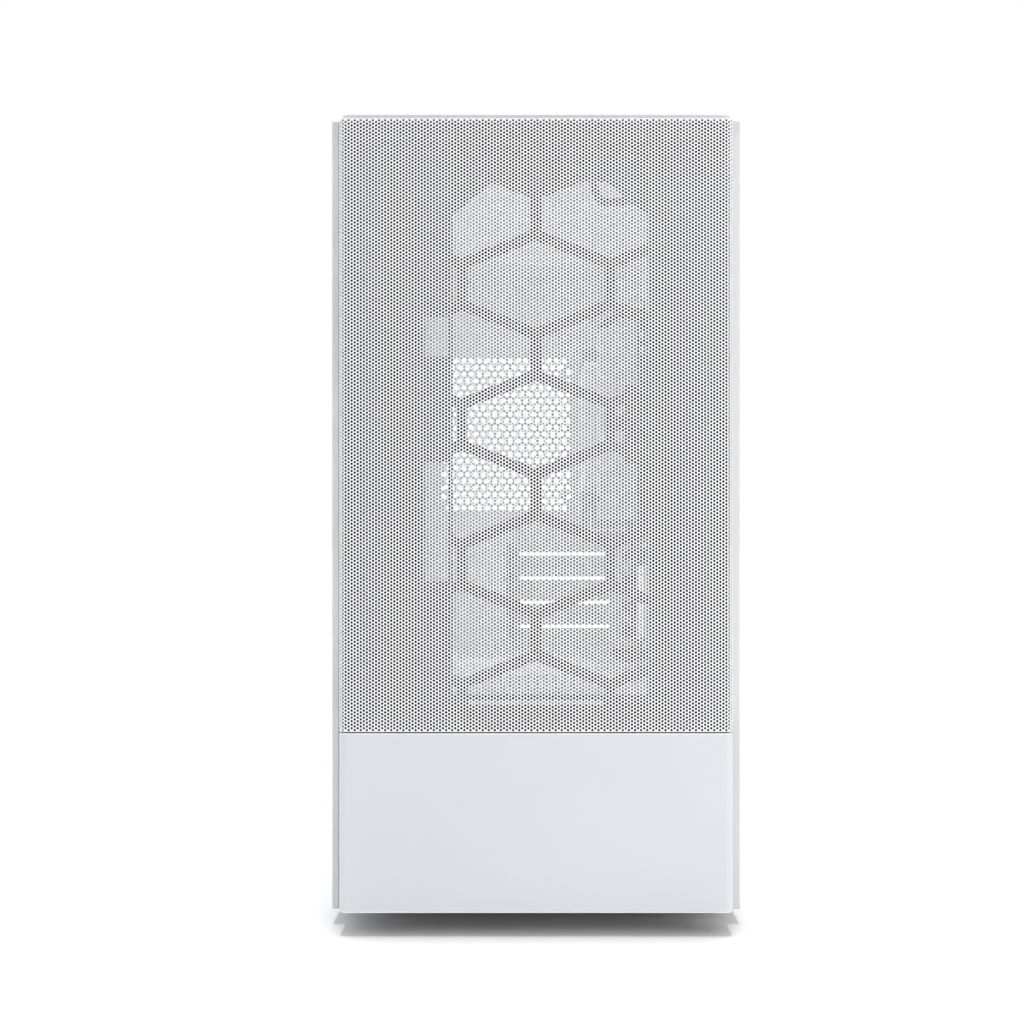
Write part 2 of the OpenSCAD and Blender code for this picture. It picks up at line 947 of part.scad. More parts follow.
module psu_switch() {
    color(black)
        translate([switch_x, rocker_y, module_z])
            rotate([-rocker_tilt, 0, 0]) {
                intersection() {
                    translate([-rocker_w / 2, 0, 0])
                        rotate([0, 90, 0])
                            cylinder(h = rocker_w, r = rocker_r);
                    sideways(-rocker_w / 2, rocker_w)
                        polygon([[-5, -6], [1, -rocker_r - 1], [3, -rocker_r - 1],
                            [1.6, 0], [3, rocker_r + 1], [1, rocker_r + 1], [-5, 6]]);
                }
                translate([-rocker_w / 2 - 1.8, 0, 0])
                    rotate([0, 90, 0])
                        cylinder(h = rocker_w + 3.6, r = 1);
            }
}

module psu_fan_frame() {
    color(black)
        translate([psu_x, psu_fan_y, psu_z + psu_wall + fan_t])
            rotate([180, 0, 0])
                fan_frame(fan_size, fan_t, 21, fan_pitch, 2);
}

module psu_fan_rotor() {
    color(black)
        translate([psu_x, psu_fan_y, psu_z + psu_wall + fan_t])
            rotate([180, 0, 0])
                fan_rotor(fan_size, fan_t, 20, 7, 2);
}

module psu_circuit() {
    top = psu_z + psu_h - psu_wall;
    color([0.25, 0.45, 0.25]) {
        block([psu_x - 68, psu_y + 6, top - 6], [psu_x + 68, rear_in - 22, top - 4]);
        for (x = [-66, 66 - 4])
            block([psu_x + x, psu_y + 6, top - 4], [psu_x + x + 4, rear_in - 22, top]);
    }
    color([0.75, 0.6, 0.2])
        block([psu_x - 12, psu_y + 46, top - 36], [psu_x + 22, psu_y + 84, top - 6]);
    color(steel)
        for (x = [-52, 46])
            block([psu_x + x, psu_y + 20, top - 38], [psu_x + x + 5, psu_y + 104, top - 6]);
    color(black)
        for (i = [0 : 2])
            translate([psu_x - 32, psu_y + 30 + i * 32, top - 36])
                cylinder(h = 30, r = 11);
}

module psu_filter() {
    w = filter_w / 2;
    y0 = rear_y - filter_l;
    z = floor_z - rail_drop + sheet + gap;
    t = floor_z - gap - z;
    color(black) {
        flat(z, t)
            difference() {
                area([psu_x - w, y0], [psu_x + w, rear_y]);
                area([psu_x - w + rim_w, y0 + rim_w], [psu_x + w - rim_w, rear_y - rim_w]);
            }
        flat(z, net_t)
            area([psu_x - w, y0], [psu_x + w, rear_y]);
        block([psu_x - 12, rear_y, z], [psu_x + 12, rear_y + 5, z + t]);
    }
}

// ---------- board ----------

module motherboard() {
    color(black)
        on_board(0, 0, -board_t)
            linear_extrude(board_t)
                difference() {
                    square([board_len, board_len]);
                    for (p = board_holes())
                        translate(p)
                            circle(1.9);
                }
}

module standoffs() {
    color([0.8, 0.65, 0.3])
        for (p = board_holes())
            on_board(p[0], p[1], -board_t - standoff_h)
                difference() {
                    cylinder(h = standoff_h, r = 2.9);
                    translate([0, 0, 1])
                        cylinder(h = standoff_h, r = 1.5);
                }
}

module board_screws() {
    color(steel)
        for (p = board_holes())
            on_board(p[0], p[1])
                screw(2.8, 2, 1.4, 5);
}

module processor_socket() {
    color(steel)
        on_board(cpu_down, cpu_forward)
            linear_extrude(3.5)
                difference() {
                    square([56, 50], center = true);
                    square([38, 38], center = true);
                }
}

module processor() {
    color([0.8, 0.8, 0.82])
        on_board(cpu_down, cpu_forward) {
            linear_extrude(3.2)
                square([37.5, 37.5], center = true);
            linear_extrude(processor_h)
                square([29, 29], center = true);
        }
}

module cooler_heatsink() {
    fins = 31;
    fin_t = 0.8;
    step = (cooler_size - fin_t) / (fins - 1);
    color(inner_white)
        on_board(cpu_down, cpu_forward, processor_h) {
            linear_extrude(5)
                square([40, 40], center = true);
            translate([0, -cooler_size / 2, 0])
                rotate([-90, 0, 0])
                    linear_extrude(cooler_size)
                        for (i = [0 : fins - 1])
                            translate([-cooler_size / 2 + i * step, -cooler_fins])
                                square([fin_t, cooler_fins - 5]);
            translate([-cooler_size / 2, -20, 5])
                cube([cooler_size, 40, 2]);
        }
}

module cooler_fan_frame() {
    color(white)
        on_board(cpu_down, cpu_forward, processor_h + cooler_fins)
            fan_frame(cooler_size, cooler_fan_t, 17, cooler_size - 9.5, 1.5);
}

module cooler_fan_rotor() {
    color(white)
        on_board(cpu_down, cpu_forward, processor_h + cooler_fins)
            fan_rotor(cooler_size, cooler_fan_t, 16, 9, 1.5);
}

module memory_slots() {
    first = memory_forward[0];
    step = (memory_forward[1] - first) / 2;
    color(black)
        for (i = [0 : 3])
            on_board(8, first + i * step)
                difference() {
                    translate([0, -3.2, 0])
                        cube([module_len + 8, 6.4, 8]);
                    translate([4 - gap / 2, -1.2, 3])
                        cube([module_len + gap, 2.4, 6]);
                }
}

// A memory module with its heat spreader, in the slot that lies this far forward
module memory_module(forward) {
    on_board(12, forward) {
        color(black)
            translate([0, -0.6, 3])
                cube([module_len, 1.2, 30]);
        color(white)
            difference() {
                translate([0, -3, 9])
                    cube([module_len, 6, 27]);
                for (i = [0 : 5])
                    translate([14 + i * 21, -4, 30])
                        rotate([-90, 0, 0])
                            translate([0, -6, 0])
                                linear_extrude(8)
                                    polygon([[-4, -1], [4, -1], [0, 4]]);
            }
    }
}

module memory_module_a() {
    memory_module(memory_forward[0]);
}

module memory_module_b() {
    memory_module(memory_forward[1]);
}

module expansion_slots() {
    color(black)
        for (i = [0 : slot_count - 1]) {
            long = i % 2 == 0 ? 89 : 25;
            on_board(board_z1 - slot_z(i), 48)
                difference() {
                    translate([-3.7, 0, 0])
                        cube([7.4, long, 11]);
                    translate([-1, 3, 4])
                        cube([2, long - 6, 8]);
                }
        }
}

module board_power_sockets() {
    color(black) {
        on_board(60, plug_forward)
            translate([0, -5, 0])
                cube([52, 10, 13]);
        on_board(6, 22)
            cube([10, 22, 13]);
    }
}

module regulator_heatsink() {
    color(white)
        on_board(7, 50)
            difference() {
                cube([18, 84, 22]);
                for (i = [0 : 6])
                    translate([4, 6 + i * 11, 6])
                        cube([20, 5, 20]);
            }
}

module chipset_heatsink() {
    color(white)
        on_board(178, 170)
            difference() {
                cube([46, 46, 9]);
                for (i = [0 : 4])
                    translate([-1, 5 + i * 8.5, 6])
                        cube([48, 3, 4]);
            }
}

module rear_ports() {
    reach = rear_y - 0.3 - board_y1;
    color(steel)
        for (p = ports)
            on_board(p[0], 0)
                difference() {
                    translate([0, -reach, 0])
                        cube([p[1], reach + 18, p[2]]);
                    translate([1.5, -reach - 1, 3])
                        cube([p[1] - 3, 12, p[2] - 5]);
                }
}

module io_shield() {
    color(steel)
        upright(rear_in - shield_t, shield_t)
            difference() {
                area([port_x0 - 1.8, port_z0 - 1.8], [port_x1 + 1.8, board_z1 + 1.8]);
                for (p = ports)
                    area([board_x - p[2] - 0.3, board_z1 - p[0] - p[1] - 0.3],
                        [board_x + 0.3, board_z1 - p[0] + 0.3]);
            }
}

// ---------- cables ----------

module board_power_cable() {
    plug = [board_x - 13, board_y1 - plug_forward, board_z1 - 86];
    hole = [tray_x, cable_hole_y(), plug[2] + 2];
    room = tray_x + sheet + cable_room / 2;
    color(black)
        cable([
            [psu_x + 34, psu_y, psu_z + 47],
            [psu_x + 34, psu_y - 5, psu_z + 47],
            [psu_x + 34, psu_y - 22, psu_z + 47],
            [psu_x + 52, psu_y - 50, psu_z + 48],
            [room - 8, psu_y - 72, psu_z + 62],
            [room, psu_y - 84, shroud_z + 14],
            [room, psu_y - 96, hole[2] - 110],
            [room, hole[1] + 8, hole[2] - 34],
            [tray_x + 8, hole[1], hole[2] - 4],
            [tray_x - 12, hole[1], hole[2]],
            [plug[0] - 14, plug[1] - 9, plug[2]],
            [plug[0] - 5, plug[1], plug[2]],
            plug
        ], 4.6, 4);
}

module processor_power_cable() {
    plug = [board_x - 13, board_y1 - 33, board_z1 - 11];
    hole = [tray_x, board_y1 - 28, board_z1 + 27];
    room = tray_x + sheet + cable_room / 2;
    color(black)
        cable([
            [psu_x + 50, psu_y, psu_z + 50],
            [psu_x + 50, psu_y - 4, psu_z + 50],
            [psu_x + 51, psu_y - 16, psu_z + 50],
            [psu_x + 66, psu_y - 34, psu_z + 54],
            [room - 5, psu_y - 44, psu_z + 70],
            [room, psu_y - 48, shroud_z + 18],
            [room + 1, psu_y - 40, board_z0 + 70],
            [room + 1, psu_y + 20, board_z1 - 10],
            [room, hole[1] - 30, hole[2] - 12],
            [tray_x + 8, hole[1] - 2, hole[2]],
            [tray_x - 8, hole[1], hole[2]],
            [plug[0] - 4, hole[1] - 1, hole[2] - 5],
            [plug[0] - 15, hole[1] - 3, hole[2] - 20],
            [plug[0] - 5, plug[1], plug[2]],
            plug
        ], 3.2, 4);
}

module front_io_cable() {
    plug = [board_x - 8, board_y1 - 150, board_z0 + 5];
    room = tray_x + sheet + cable_room / 2;
    top = [tray_x, plate_back + 40, top_in - 26];
    low = [tray_x, cable_hole_y(), board_z0 + 16];
    color(black)
        cable([
            [usb_x[0], strip_y + 8, io_z - 6],
            [usb_x[0], strip_y + 8, io_z - 9],
            [usb_x[0] + 6, strip_y + 8, io_z - 18],
            [tray_x - 24, top[1] - 6, top[2] - 1],
            [tray_x - 8, top[1], top[2]],
            [tray_x + 6, top[1], top[2] - 2],
            [room, top[1] + 4, top[2] - 24],
            [room, top[1] + 8, board_z0 + 180],
            [room, low[1] - 10, board_z0 + 80],
            [tray_x + 6, low[1] - 1, low[2] + 4],
            [tray_x - 8, low[1] + 1, low[2]],
            [board_x - 22, low[1] + 16, low[2] - 8],
            [board_x - 26, plug[1] - 20, plug[2]],
            [plug[0] - 5, plug[1], plug[2]],
            plug
        ], 2.6, 4);
}

module drive_power_cable() {
    plug = [cage_x0 + 4 + drive_l, cage_y0 + cage_wall + 3 + 70, deck_z + 16];
    color(black)
        cable([
            [psu_x + 24, psu_y, psu_z + 44],
            [psu_x + 24, psu_y - 4, psu_z + 44],
            [psu_x + 24, psu_y - 18, psu_z + 40],
            [psu_x + 46, psu_y - 46, psu_z + 20],
            [plug[0] + 10, psu_y - 76, plug[2] + 8],
            [plug[0] + 14, plug[1] + 30, plug[2]],
            [plug[0] + 5, plug[1], plug[2]],
            plug
        ], 2.4, 4);
}

// ---------- front panel ----------

// Outline of the front panel seen from above, this far inside its outer face
module panel_outline(inset) {
    r = edge_r - inset;
    half = front_w / 2 - inset;
    for (s = [-1, 1])
        translate([s * (half - r), front_y + edge_r])
            circle(r);
    area([-half + r, front_y + inset], [half - r, front_y + edge_r]);
    area([-half, front_y + edge_r], [half, chassis_y - gap]);
}

module front_mesh() {
    color(white) {
        flat(mesh_z0, front_z1 - mesh_z0)
            difference() {
                panel_outline(0);
                panel_outline(mesh_t);
                area([-front_w / 2 + mesh_t, front_y + edge_r], [front_w / 2 - mesh_t, chassis_y]);
            }
        flat(front_z1 - mesh_t, mesh_t)
            panel_outline(mesh_t / 2);
    }
}

module front_band() {
    color(white) {
        flat(front_z0, band_h)
            difference() {
                panel_outline(0);
                panel_outline(cover_wall);
                area([-front_w / 2 + cover_wall, front_y + edge_r],
                    [front_w / 2 - cover_wall, chassis_y]);
            }
    }
}

module front_carrier() {
    y0 = front_y + edge_r;
    y1 = chassis_y - gap;
    x = front_w / 2 - cover_wall;
    z0 = front_z0 + cover_wall;
    z1 = front_z1 - mesh_t;
    rim = 10;
    color(black) {
        upright(y0, y1 - y0)
            difference() {
                area([-x, z0], [x, z1]);
                area([-x + rim, z0 + rim], [x - rim, band_top - rim / 2]);
                area([-x + rim, band_top + rim / 2], [x - rim, z1 - rim]);
            }
        flat(front_z0, cover_wall)
            panel_outline(cover_wall);
        for (p = clip_places())
            translate([p[0], 0, p[1]])
                rotate([-90, 0, 0])
                    translate([0, 0, y1 - 3])
                        cylinder(h = plate_back + clip_reach - y1 + 3, r = 3);
        for (p = clip_places())
            block([p[0] - 3.4, y1 - 6, p[1] - 8], [p[0] + 3.4, y1, p[1] + 8]);
    }
}

// ---------- door and side panel ----------

function panel_screw_x() = frame_x - 5;
function panel_screw_z() = [floor_z + 50, frame_top - 50];

module side_panel() {
    y0 = chassis_y + gap;
    x0 = right_x - sheet - fold;
    lip_y = rear_y + gap;
    color(white) {
        block([right_x - sheet, y0, floor_z], [right_x, rear_y + gap + sheet, frame_top]);
        for (z = [floor_z, frame_top - sheet])
            block([x0, y0, z], [right_x, rear_y, z + sheet]);
        block([x0, y0, floor_z], [right_x, y0 + sheet, frame_top]);
        for (z = panel_screw_z())
            difference() {
                block([panel_screw_x() - 7, lip_y, z - 9], [right_x, lip_y + sheet, z + 9]);
                translate([panel_screw_x(), lip_y - 1, z])
                    rotate([-90, 0, 0])
                        cylinder(h = sheet + 2, r = thumb_hole_r);
            }
    }
}

module panel_screws() {
    color(steel)
        for (z = panel_screw_z())
            translate([panel_screw_x(), rear_y + gap + sheet, z])
                rotate([-90, 0, 0])
                    screw(5.5, thumb_head, shank_r, 7);
}

module glass_door() {
    color([0.8, 0.85, 0.88, 0.4])
        block([left_x, chassis_y + gap, floor_z],
            [left_x + glass_t, hinge_y - stile_w, frame_top]);
}

module door_stile() {
    lip = 10;
    x1 = left_x + 2 * stile_r;
    color(steel) {
        flat(door_z0, door_z1 - door_z0) {
            translate([hinge_x, hinge_y])
                circle(stile_r);
            area([left_x, hinge_y - stile_w], [x1, hinge_y]);
            area([left_x + glass_t, hinge_y - stile_w - lip], [x1, hinge_y - stile_w]);
        }
        for (z = [door_z0 - ear_t - gap / 2, door_z1])
            translate([hinge_x, hinge_y, z])
                cylinder(h = ear_t + gap / 2, r = pin_r);
    }
}

module door_magnets() {
    mid = (door_z0 + door_z1) / 2;
    reach = 140;
    x = left_x + glass_t;
    color(steel)
        for (z = [mid - reach, mid + reach])
            block([x, chassis_y + 3, z - 20], [x + 0.5, chassis_y + 13, z + 20]);
}

module door_hinge_plates() {
    color(inner_white)
        for (z = [floor_z, frame_top - ear_t])
            difference() {
                block([left_x, hinge_y - 8, z], [-frame_x, rear_in, z + ear_t]);
                translate([hinge_x, hinge_y, z - 1])
                    cylinder(h = ear_t + 2, r = pin_r + run);
            }
}

floor_pan();
rear_panel();
top_frame();
front_plate();
motherboard_tray();
psu_shroud();
drive_cage();
drive_caddies();
hard_drive();
solid_state_drive();
feet();
slot_covers();
slot_screws();
door_hinge_plates();
grommets();
roof_cover();
front_io_board();
usb_ports();
audio_jacks();
psu_housing();
psu_inlet();
psu_fan_frame();
psu_circuit();
psu_screws();
motherboard();
standoffs();
board_screws();
processor_socket();
processor();
cooler_heatsink();
cooler_fan_frame();
memory_slots();
memory_module_a();
memory_module_b();
expansion_slots();
board_power_sockets();
regulator_heatsink();
chipset_heatsink();
rear_ports();
io_shield();
board_power_cable();
processor_power_cable();
front_io_cable();
drive_power_cable();
power_button();
reset_button();
cooler_fan_rotor();
psu_fan_rotor();
psu_switch();
top_filter();
front_mesh();
front_band();
front_carrier();
side_panel();
panel_screws();
glass_door();
door_stile();
door_magnets();
psu_filter();
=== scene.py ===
import math
import random

import bmesh
import bpy
import numpy as np
from mathutils import Matrix, Vector


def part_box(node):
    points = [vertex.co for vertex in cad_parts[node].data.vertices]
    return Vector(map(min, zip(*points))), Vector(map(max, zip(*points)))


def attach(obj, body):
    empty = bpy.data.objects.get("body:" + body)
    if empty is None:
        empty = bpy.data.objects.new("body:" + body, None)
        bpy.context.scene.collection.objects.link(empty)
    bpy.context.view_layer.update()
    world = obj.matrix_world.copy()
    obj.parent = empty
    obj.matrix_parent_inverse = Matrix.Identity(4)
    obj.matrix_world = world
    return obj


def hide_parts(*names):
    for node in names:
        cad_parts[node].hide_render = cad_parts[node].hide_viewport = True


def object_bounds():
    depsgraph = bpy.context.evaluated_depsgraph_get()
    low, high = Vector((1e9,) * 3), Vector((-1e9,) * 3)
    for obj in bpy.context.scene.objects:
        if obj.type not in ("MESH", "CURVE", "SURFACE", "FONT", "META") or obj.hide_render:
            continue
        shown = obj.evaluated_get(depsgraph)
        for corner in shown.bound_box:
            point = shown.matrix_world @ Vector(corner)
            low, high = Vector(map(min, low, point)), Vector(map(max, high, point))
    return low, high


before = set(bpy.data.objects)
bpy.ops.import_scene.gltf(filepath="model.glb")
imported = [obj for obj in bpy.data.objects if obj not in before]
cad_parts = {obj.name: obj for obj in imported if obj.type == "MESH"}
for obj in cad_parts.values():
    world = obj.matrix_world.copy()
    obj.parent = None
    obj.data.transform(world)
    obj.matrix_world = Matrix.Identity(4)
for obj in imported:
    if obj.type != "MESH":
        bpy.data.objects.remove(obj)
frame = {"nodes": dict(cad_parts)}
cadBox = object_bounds()
nodes = frame["nodes"]
mm = 0.001
print("stage: frame loaded,", len(nodes), "nodes")


# ---- finishes

def newFinish(name, look):
    # a plain shader whose colour, gloss and surface vary a little over the piece
    mat = bpy.data.materials.new(name)
    mat.use_nodes = True
    tree = mat.node_tree
    shader = tree.nodes["Principled BSDF"]
    shader.inputs["Metallic"].default_value = look.get("metal", 0.0)
    shader.inputs["Coat Weight"].default_value = look.get("coat", 0.0)
    shader.inputs["Coat Roughness"].default_value = 0.15
    shader.inputs["Specular IOR Level"].default_value = look.get("specular", 0.5)
    place = tree.nodes.new("ShaderNodeTexCoord")
    stretch = tree.nodes.new("ShaderNodeMapping")
    stretch.inputs["Scale"].default_value = look.get("stretch", (1, 1, 1))
    tree.links.new(place.outputs["Object"], stretch.inputs["Vector"])

    patches = addNoise(tree, stretch, look.get("patch", 12), 3)
    if look.get("varied", True):
        tint = tree.nodes.new("ShaderNodeMix")
        tint.data_type = "RGBA"
        tint.inputs["A"].default_value = (*look["shade"], 1)
        tint.inputs["B"].default_value = (*look["colour"], 1)
        tree.links.new(spread(tree, patches, 0.35, 0.6, 0, 1), tint.inputs["Factor"])
        tree.links.new(tint.outputs["Result"], shader.inputs["Base Color"])
    else:
        shader.inputs["Base Color"].default_value = (*look["colour"], 1)

    grain = addNoise(tree, stretch, look["grain"], 2)
    low, high = look["rough"]
    tree.links.new(spread(tree, grain, 0.3, 0.7, low, high), shader.inputs["Roughness"])
    bump = tree.nodes.new("ShaderNodeBump")
    bump.inputs["Strength"].default_value = look["bump"]
    bump.inputs["Distance"].default_value = look.get("relief", 0.05) * mm
    tree.links.new(grain, bump.inputs["Height"])
    tree.links.new(bump.outputs["Normal"], shader.inputs["Normal"])
    return mat


def addNoise(tree, mapping, scale, detail):
    noise = tree.nodes.new("ShaderNodeTexNoise")
    noise.inputs["Scale"].default_value = scale
    noise.inputs["Detail"].default_value = detail
    tree.links.new(mapping.outputs["Vector"], noise.inputs["Vector"])
    return noise.outputs["Fac"]


def spread(tree, source, fromLow, fromHigh, toLow, toHigh):
    node = tree.nodes.new("ShaderNodeMapRange")
    for socket, value in zip(list(node.inputs)[1:5], (fromLow, fromHigh, toLow, toHigh)):
        socket.default_value = value
    tree.links.new(source, node.inputs["Value"])
    return node.outputs["Result"]


def makeGlass(name, look):
    # clear sheet that lets the lamps through
    mat = bpy.data.materials.new(name)
    mat.use_nodes = True
    tree = mat.node_tree
    shader = tree.nodes["Principled BSDF"]
    shader.inputs["Base Color"].default_value = (*look["colour"], 1)
    shader.inputs["Transmission Weight"].default_value = 1
    shader.inputs["Roughness"].default_value = look["rough"]
    shader.inputs["IOR"].default_value = 1.5
    clear = tree.nodes.new("ShaderNodeBsdfTransparent")
    clear.inputs["Color"].default_value = (*look["colour"], 1)
    rays = tree.nodes.new("ShaderNodeLightPath")
    mix = tree.nodes.new("ShaderNodeMixShader")
    out = tree.nodes["Material Output"]
    tree.links.new(rays.outputs["Is Shadow Ray"], mix.inputs["Fac"])
    tree.links.new(shader.outputs["BSDF"], mix.inputs[1])
    tree.links.new(clear.outputs["BSDF"], mix.inputs[2])
    tree.links.new(mix.outputs["Shader"], out.inputs["Surface"])
    return mat


finishLooks = {
    "whitePowderCoat": {"colour": (0.715, 0.73, 0.745), "shade": (0.70, 0.715, 0.73), "patch": 14,
                        "rough": (0.34, 0.46), "grain": 2600, "bump": 0.25},
    # lighter white for the bevel faces of rounded edges: a painted highlight
    "paintedEdgeHighlight": {"colour": (0.93, 0.935, 0.94), "shade": (0.90, 0.905, 0.915), "patch": 40,
                  "rough": (0.3, 0.42), "grain": 2600, "bump": 0.15, "coat": 0.2},
    # the perforated sheet's white, lighter than the same white powder coat on its folded top: painted
    # light
    "meshPaintWithPaintedLight": {"colour": (0.94, 0.945, 0.955), "varied": False, "rough": (0.36, 0.5),
                  "grain": 2400, "bump": 0.2},
    "innerWhitePaint": {"colour": (0.78, 0.79, 0.80), "shade": (0.73, 0.74, 0.755), "patch": 14,
                        "rough": (0.42, 0.56), "grain": 2200, "bump": 0.3},
    # black paint: the power supply's and its screws' own colour, and painted shade on the front plate
    # behind the mesh
    "blackPowderCoatAndPaintedShade": {"colour": (0.018, 0.018, 0.02), "shade": (0.012, 0.012, 0.013),
                        "patch": 20, "rough": (0.45, 0.62), "grain": 3000, "bump": 0.5},
    "whitePlastic": {"colour": (0.71, 0.735, 0.765), "shade": (0.695, 0.72, 0.75), "patch": 9,
                     "rough": (0.38, 0.5), "grain": 4200, "bump": 0.18, "coat": 0.05},
    "blackPlastic": {"colour": (0.02, 0.02, 0.022), "shade": (0.013, 0.013, 0.014), "patch": 25,
                     "rough": (0.42, 0.6), "grain": 3600, "bump": 0.4},
    "zincPlate": {"colour": (0.62, 0.63, 0.65), "shade": (0.5, 0.51, 0.53), "patch": 40,
                  "rough": (0.24, 0.4), "grain": 900, "bump": 0.15, "metal": 1.0,
                  "stretch": (1, 0.12, 1)},
    "nickelPlate": {"colour": (0.74, 0.73, 0.71), "shade": (0.66, 0.65, 0.63), "patch": 60,
                    "rough": (0.16, 0.3), "grain": 1500, "bump": 0.1, "metal": 1.0},
    "castAluminium": {"colour": (0.55, 0.56, 0.57), "shade": (0.47, 0.48, 0.49), "patch": 50,
                      "rough": (0.4, 0.58), "grain": 1800, "bump": 0.5, "metal": 1.0},
    "whiteLacquer": {"colour": (0.78, 0.79, 0.80), "shade": (0.73, 0.74, 0.76), "patch": 30,
                     "rough": (0.28, 0.42), "grain": 1600, "bump": 0.2, "coat": 0.1,
                     "stretch": (1, 0.2, 1)},
    "softRubber": {"colour": (0.022, 0.022, 0.022), "shade": (0.034, 0.034, 0.033), "patch": 60,
                   "rough": (0.68, 0.88), "grain": 2500, "bump": 0.6},
    "greenLacquer": {"colour": (0.03, 0.12, 0.05), "shade": (0.02, 0.08, 0.035), "patch": 90,
                     "rough": (0.25, 0.45), "grain": 900, "bump": 0.4},
    "turnedBrass": {"colour": (0.72, 0.52, 0.22), "shade": (0.6, 0.42, 0.17), "patch": 80,
                    "rough": (0.2, 0.36), "grain": 1200, "bump": 0.15, "metal": 1.0},
    "blackWire": {"colour": (0.016, 0.016, 0.017), "shade": (0.03, 0.03, 0.031), "patch": 160,
                  "rough": (0.4, 0.6), "grain": 2600, "bump": 0.4},
    "filterNet": {"colour": (0.70, 0.71, 0.72), "shade": (0.62, 0.63, 0.64), "patch": 25,
                  "rough": (0.5, 0.7), "grain": 2600, "bump": 0.3},
    "blueTongue": {"colour": (0.02, 0.1, 0.42), "shade": (0.015, 0.08, 0.35), "patch": 100,
                   "rough": (0.35, 0.5), "grain": 2600, "bump": 0.2},
    "groundEdge": {"colour": (0.71, 0.715, 0.73), "shade": (0.64, 0.645, 0.66), "patch": 30,
                   "rough": (0.3, 0.5), "grain": 1800, "bump": 0.4},
    "whiteCeramic": {"colour": (0.74, 0.75, 0.76), "shade": (0.71, 0.72, 0.735), "patch": 30,
                     "rough": (0.4, 0.55), "grain": 2800, "bump": 0.2},
    "greyFerrite": {"colour": (0.16, 0.165, 0.17), "shade": (0.11, 0.115, 0.12), "patch": 200,
                    "rough": (0.45, 0.65), "grain": 1900, "bump": 0.5},
}
finishes = {name: newFinish(name, look) for name, look in finishLooks.items()}
finishes["doorGlass"] = makeGlass("doorGlass", {"colour": (0.93, 0.965, 0.97), "rough": 0.0})


def boardLacquer():
    # black lacquer with bands of fine tracks under it
    mat = newFinish("boardLacquer", {
        "colour": (0.016, 0.017, 0.02), "shade": (0.011, 0.012, 0.014), "patch": 35,
        "rough": (0.3, 0.45), "grain": 1200, "bump": 0.15})
    tree = mat.node_tree
    shader = tree.nodes["Principled BSDF"]
    place = tree.nodes.new("ShaderNodeTexCoord")
    turn = tree.nodes.new("ShaderNodeMapping")
    turn.inputs["Rotation"].default_value = (math.radians(90), 0, math.radians(90))
    cells = tree.nodes.new("ShaderNodeTexVoronoi")
    cells.inputs["Scale"].default_value = 42
    tracks = tree.nodes.new("ShaderNodeTexWave")
    tracks.bands_direction = "DIAGONAL"
    tracks.inputs["Scale"].default_value = 330
    tracks.inputs["Distortion"].default_value = 1.5
    twist = tree.nodes.new("ShaderNodeMix")
    twist.data_type = "VECTOR"
    twist.inputs["Factor"].default_value = 0.06
    tree.links.new(place.outputs["Object"], turn.inputs["Vector"])
    tree.links.new(turn.outputs["Vector"], cells.inputs["Vector"])
    tree.links.new(turn.outputs["Vector"], twist.inputs["A"])
    tree.links.new(cells.outputs["Color"], twist.inputs["B"])
    tree.links.new(twist.outputs["Result"], tracks.inputs["Vector"])
    tint = tree.nodes.new("ShaderNodeMix")
    tint.data_type = "RGBA"
    tint.inputs["A"].default_value = (0.013, 0.014, 0.017, 1)
    tint.inputs["B"].default_value = (0.034, 0.036, 0.042, 1)
    tree.links.new(spread(tree, tracks.outputs["Fac"], 0.55, 0.7, 0, 1), tint.inputs["Factor"])
    tree.links.new(tint.outputs["Result"], shader.inputs["Base Color"])
    return mat


finishes["boardLacquer"] = boardLacquer()
print("stage: finishes made,", len(finishes))


# ---- tools for pieces

# points closer than weld, in metres, are one; faces within the flat angle are one
cleaning = {"weld": 1e-6, "flat": 0.3}


def putInScene(thing):
    bpy.context.scene.collection.objects.link(thing)


def addPiece(name, mesh, finish, body, smooth):
    piece = bpy.data.objects.new(name, mesh)
    putInScene(piece)
    mesh.materials.append(finishes[finish])
    mesh.polygons.foreach_set("use_smooth", [smooth] * len(mesh.polygons))
    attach(piece, body)
    return piece


def pieceFrom(name, bm, finish, body, smooth=False):
    # a piece from a shape drawn in mm
    bmesh.ops.scale(bm, vec=(mm, mm, mm), verts=bm.verts)
    bmesh.ops.recalc_face_normals(bm, faces=bm.faces)
    mesh = bpy.data.meshes.new(name)
    bm.to_mesh(mesh)
    bm.free()
    return addPiece(name, mesh, finish, body, smooth)


def addBox(bm, low, high):
    low, high = Vector(low), Vector(high)
    for v in bmesh.ops.create_cube(bm, size=1)["verts"]:
        v.co = low + Vector([(c + 0.5) * s for c, s in zip(v.co, high - low)])


def addRing(bm, radii, height, place):
    # a ring of points round the Z of place, one for each radius
    steps = len(radii)
    ring = []
    for k, radius in enumerate(radii):
        a = 2 * math.pi * k / steps
        spot = Vector((radius * math.cos(a), radius * math.sin(a), height))
        ring.append(bm.verts.new(place @ spot))
    return ring


def joinRings(bm, a, b):
    for k in range(len(a)):
        n = (k + 1) % len(a)
        bm.faces.new((a[k], a[n], b[n], b[k]))


def addTurned(bm, profile, steps, place):
    # a closed round shape from (radius, height) pairs
    rings = [addRing(bm, [radius] * steps, height, place) for radius, height in profile]
    for a, b in zip(rings, rings[1:]):
        joinRings(bm, a, b)
    bm.faces.new(rings[0][::-1])
    bm.faces.new(rings[-1])


# edges between faces that meet at more than this angle, in degrees, are rounded
rounding = {"steps": 2, "angle": 35}


def bevelled(piece, width):
    edge = piece.modifiers.new("edges", "BEVEL")
    edge.width = width * mm
    edge.segments = rounding["steps"]
    edge.limit_method = "ANGLE"
    edge.angle_limit = math.radians(rounding["angle"])
    return edge


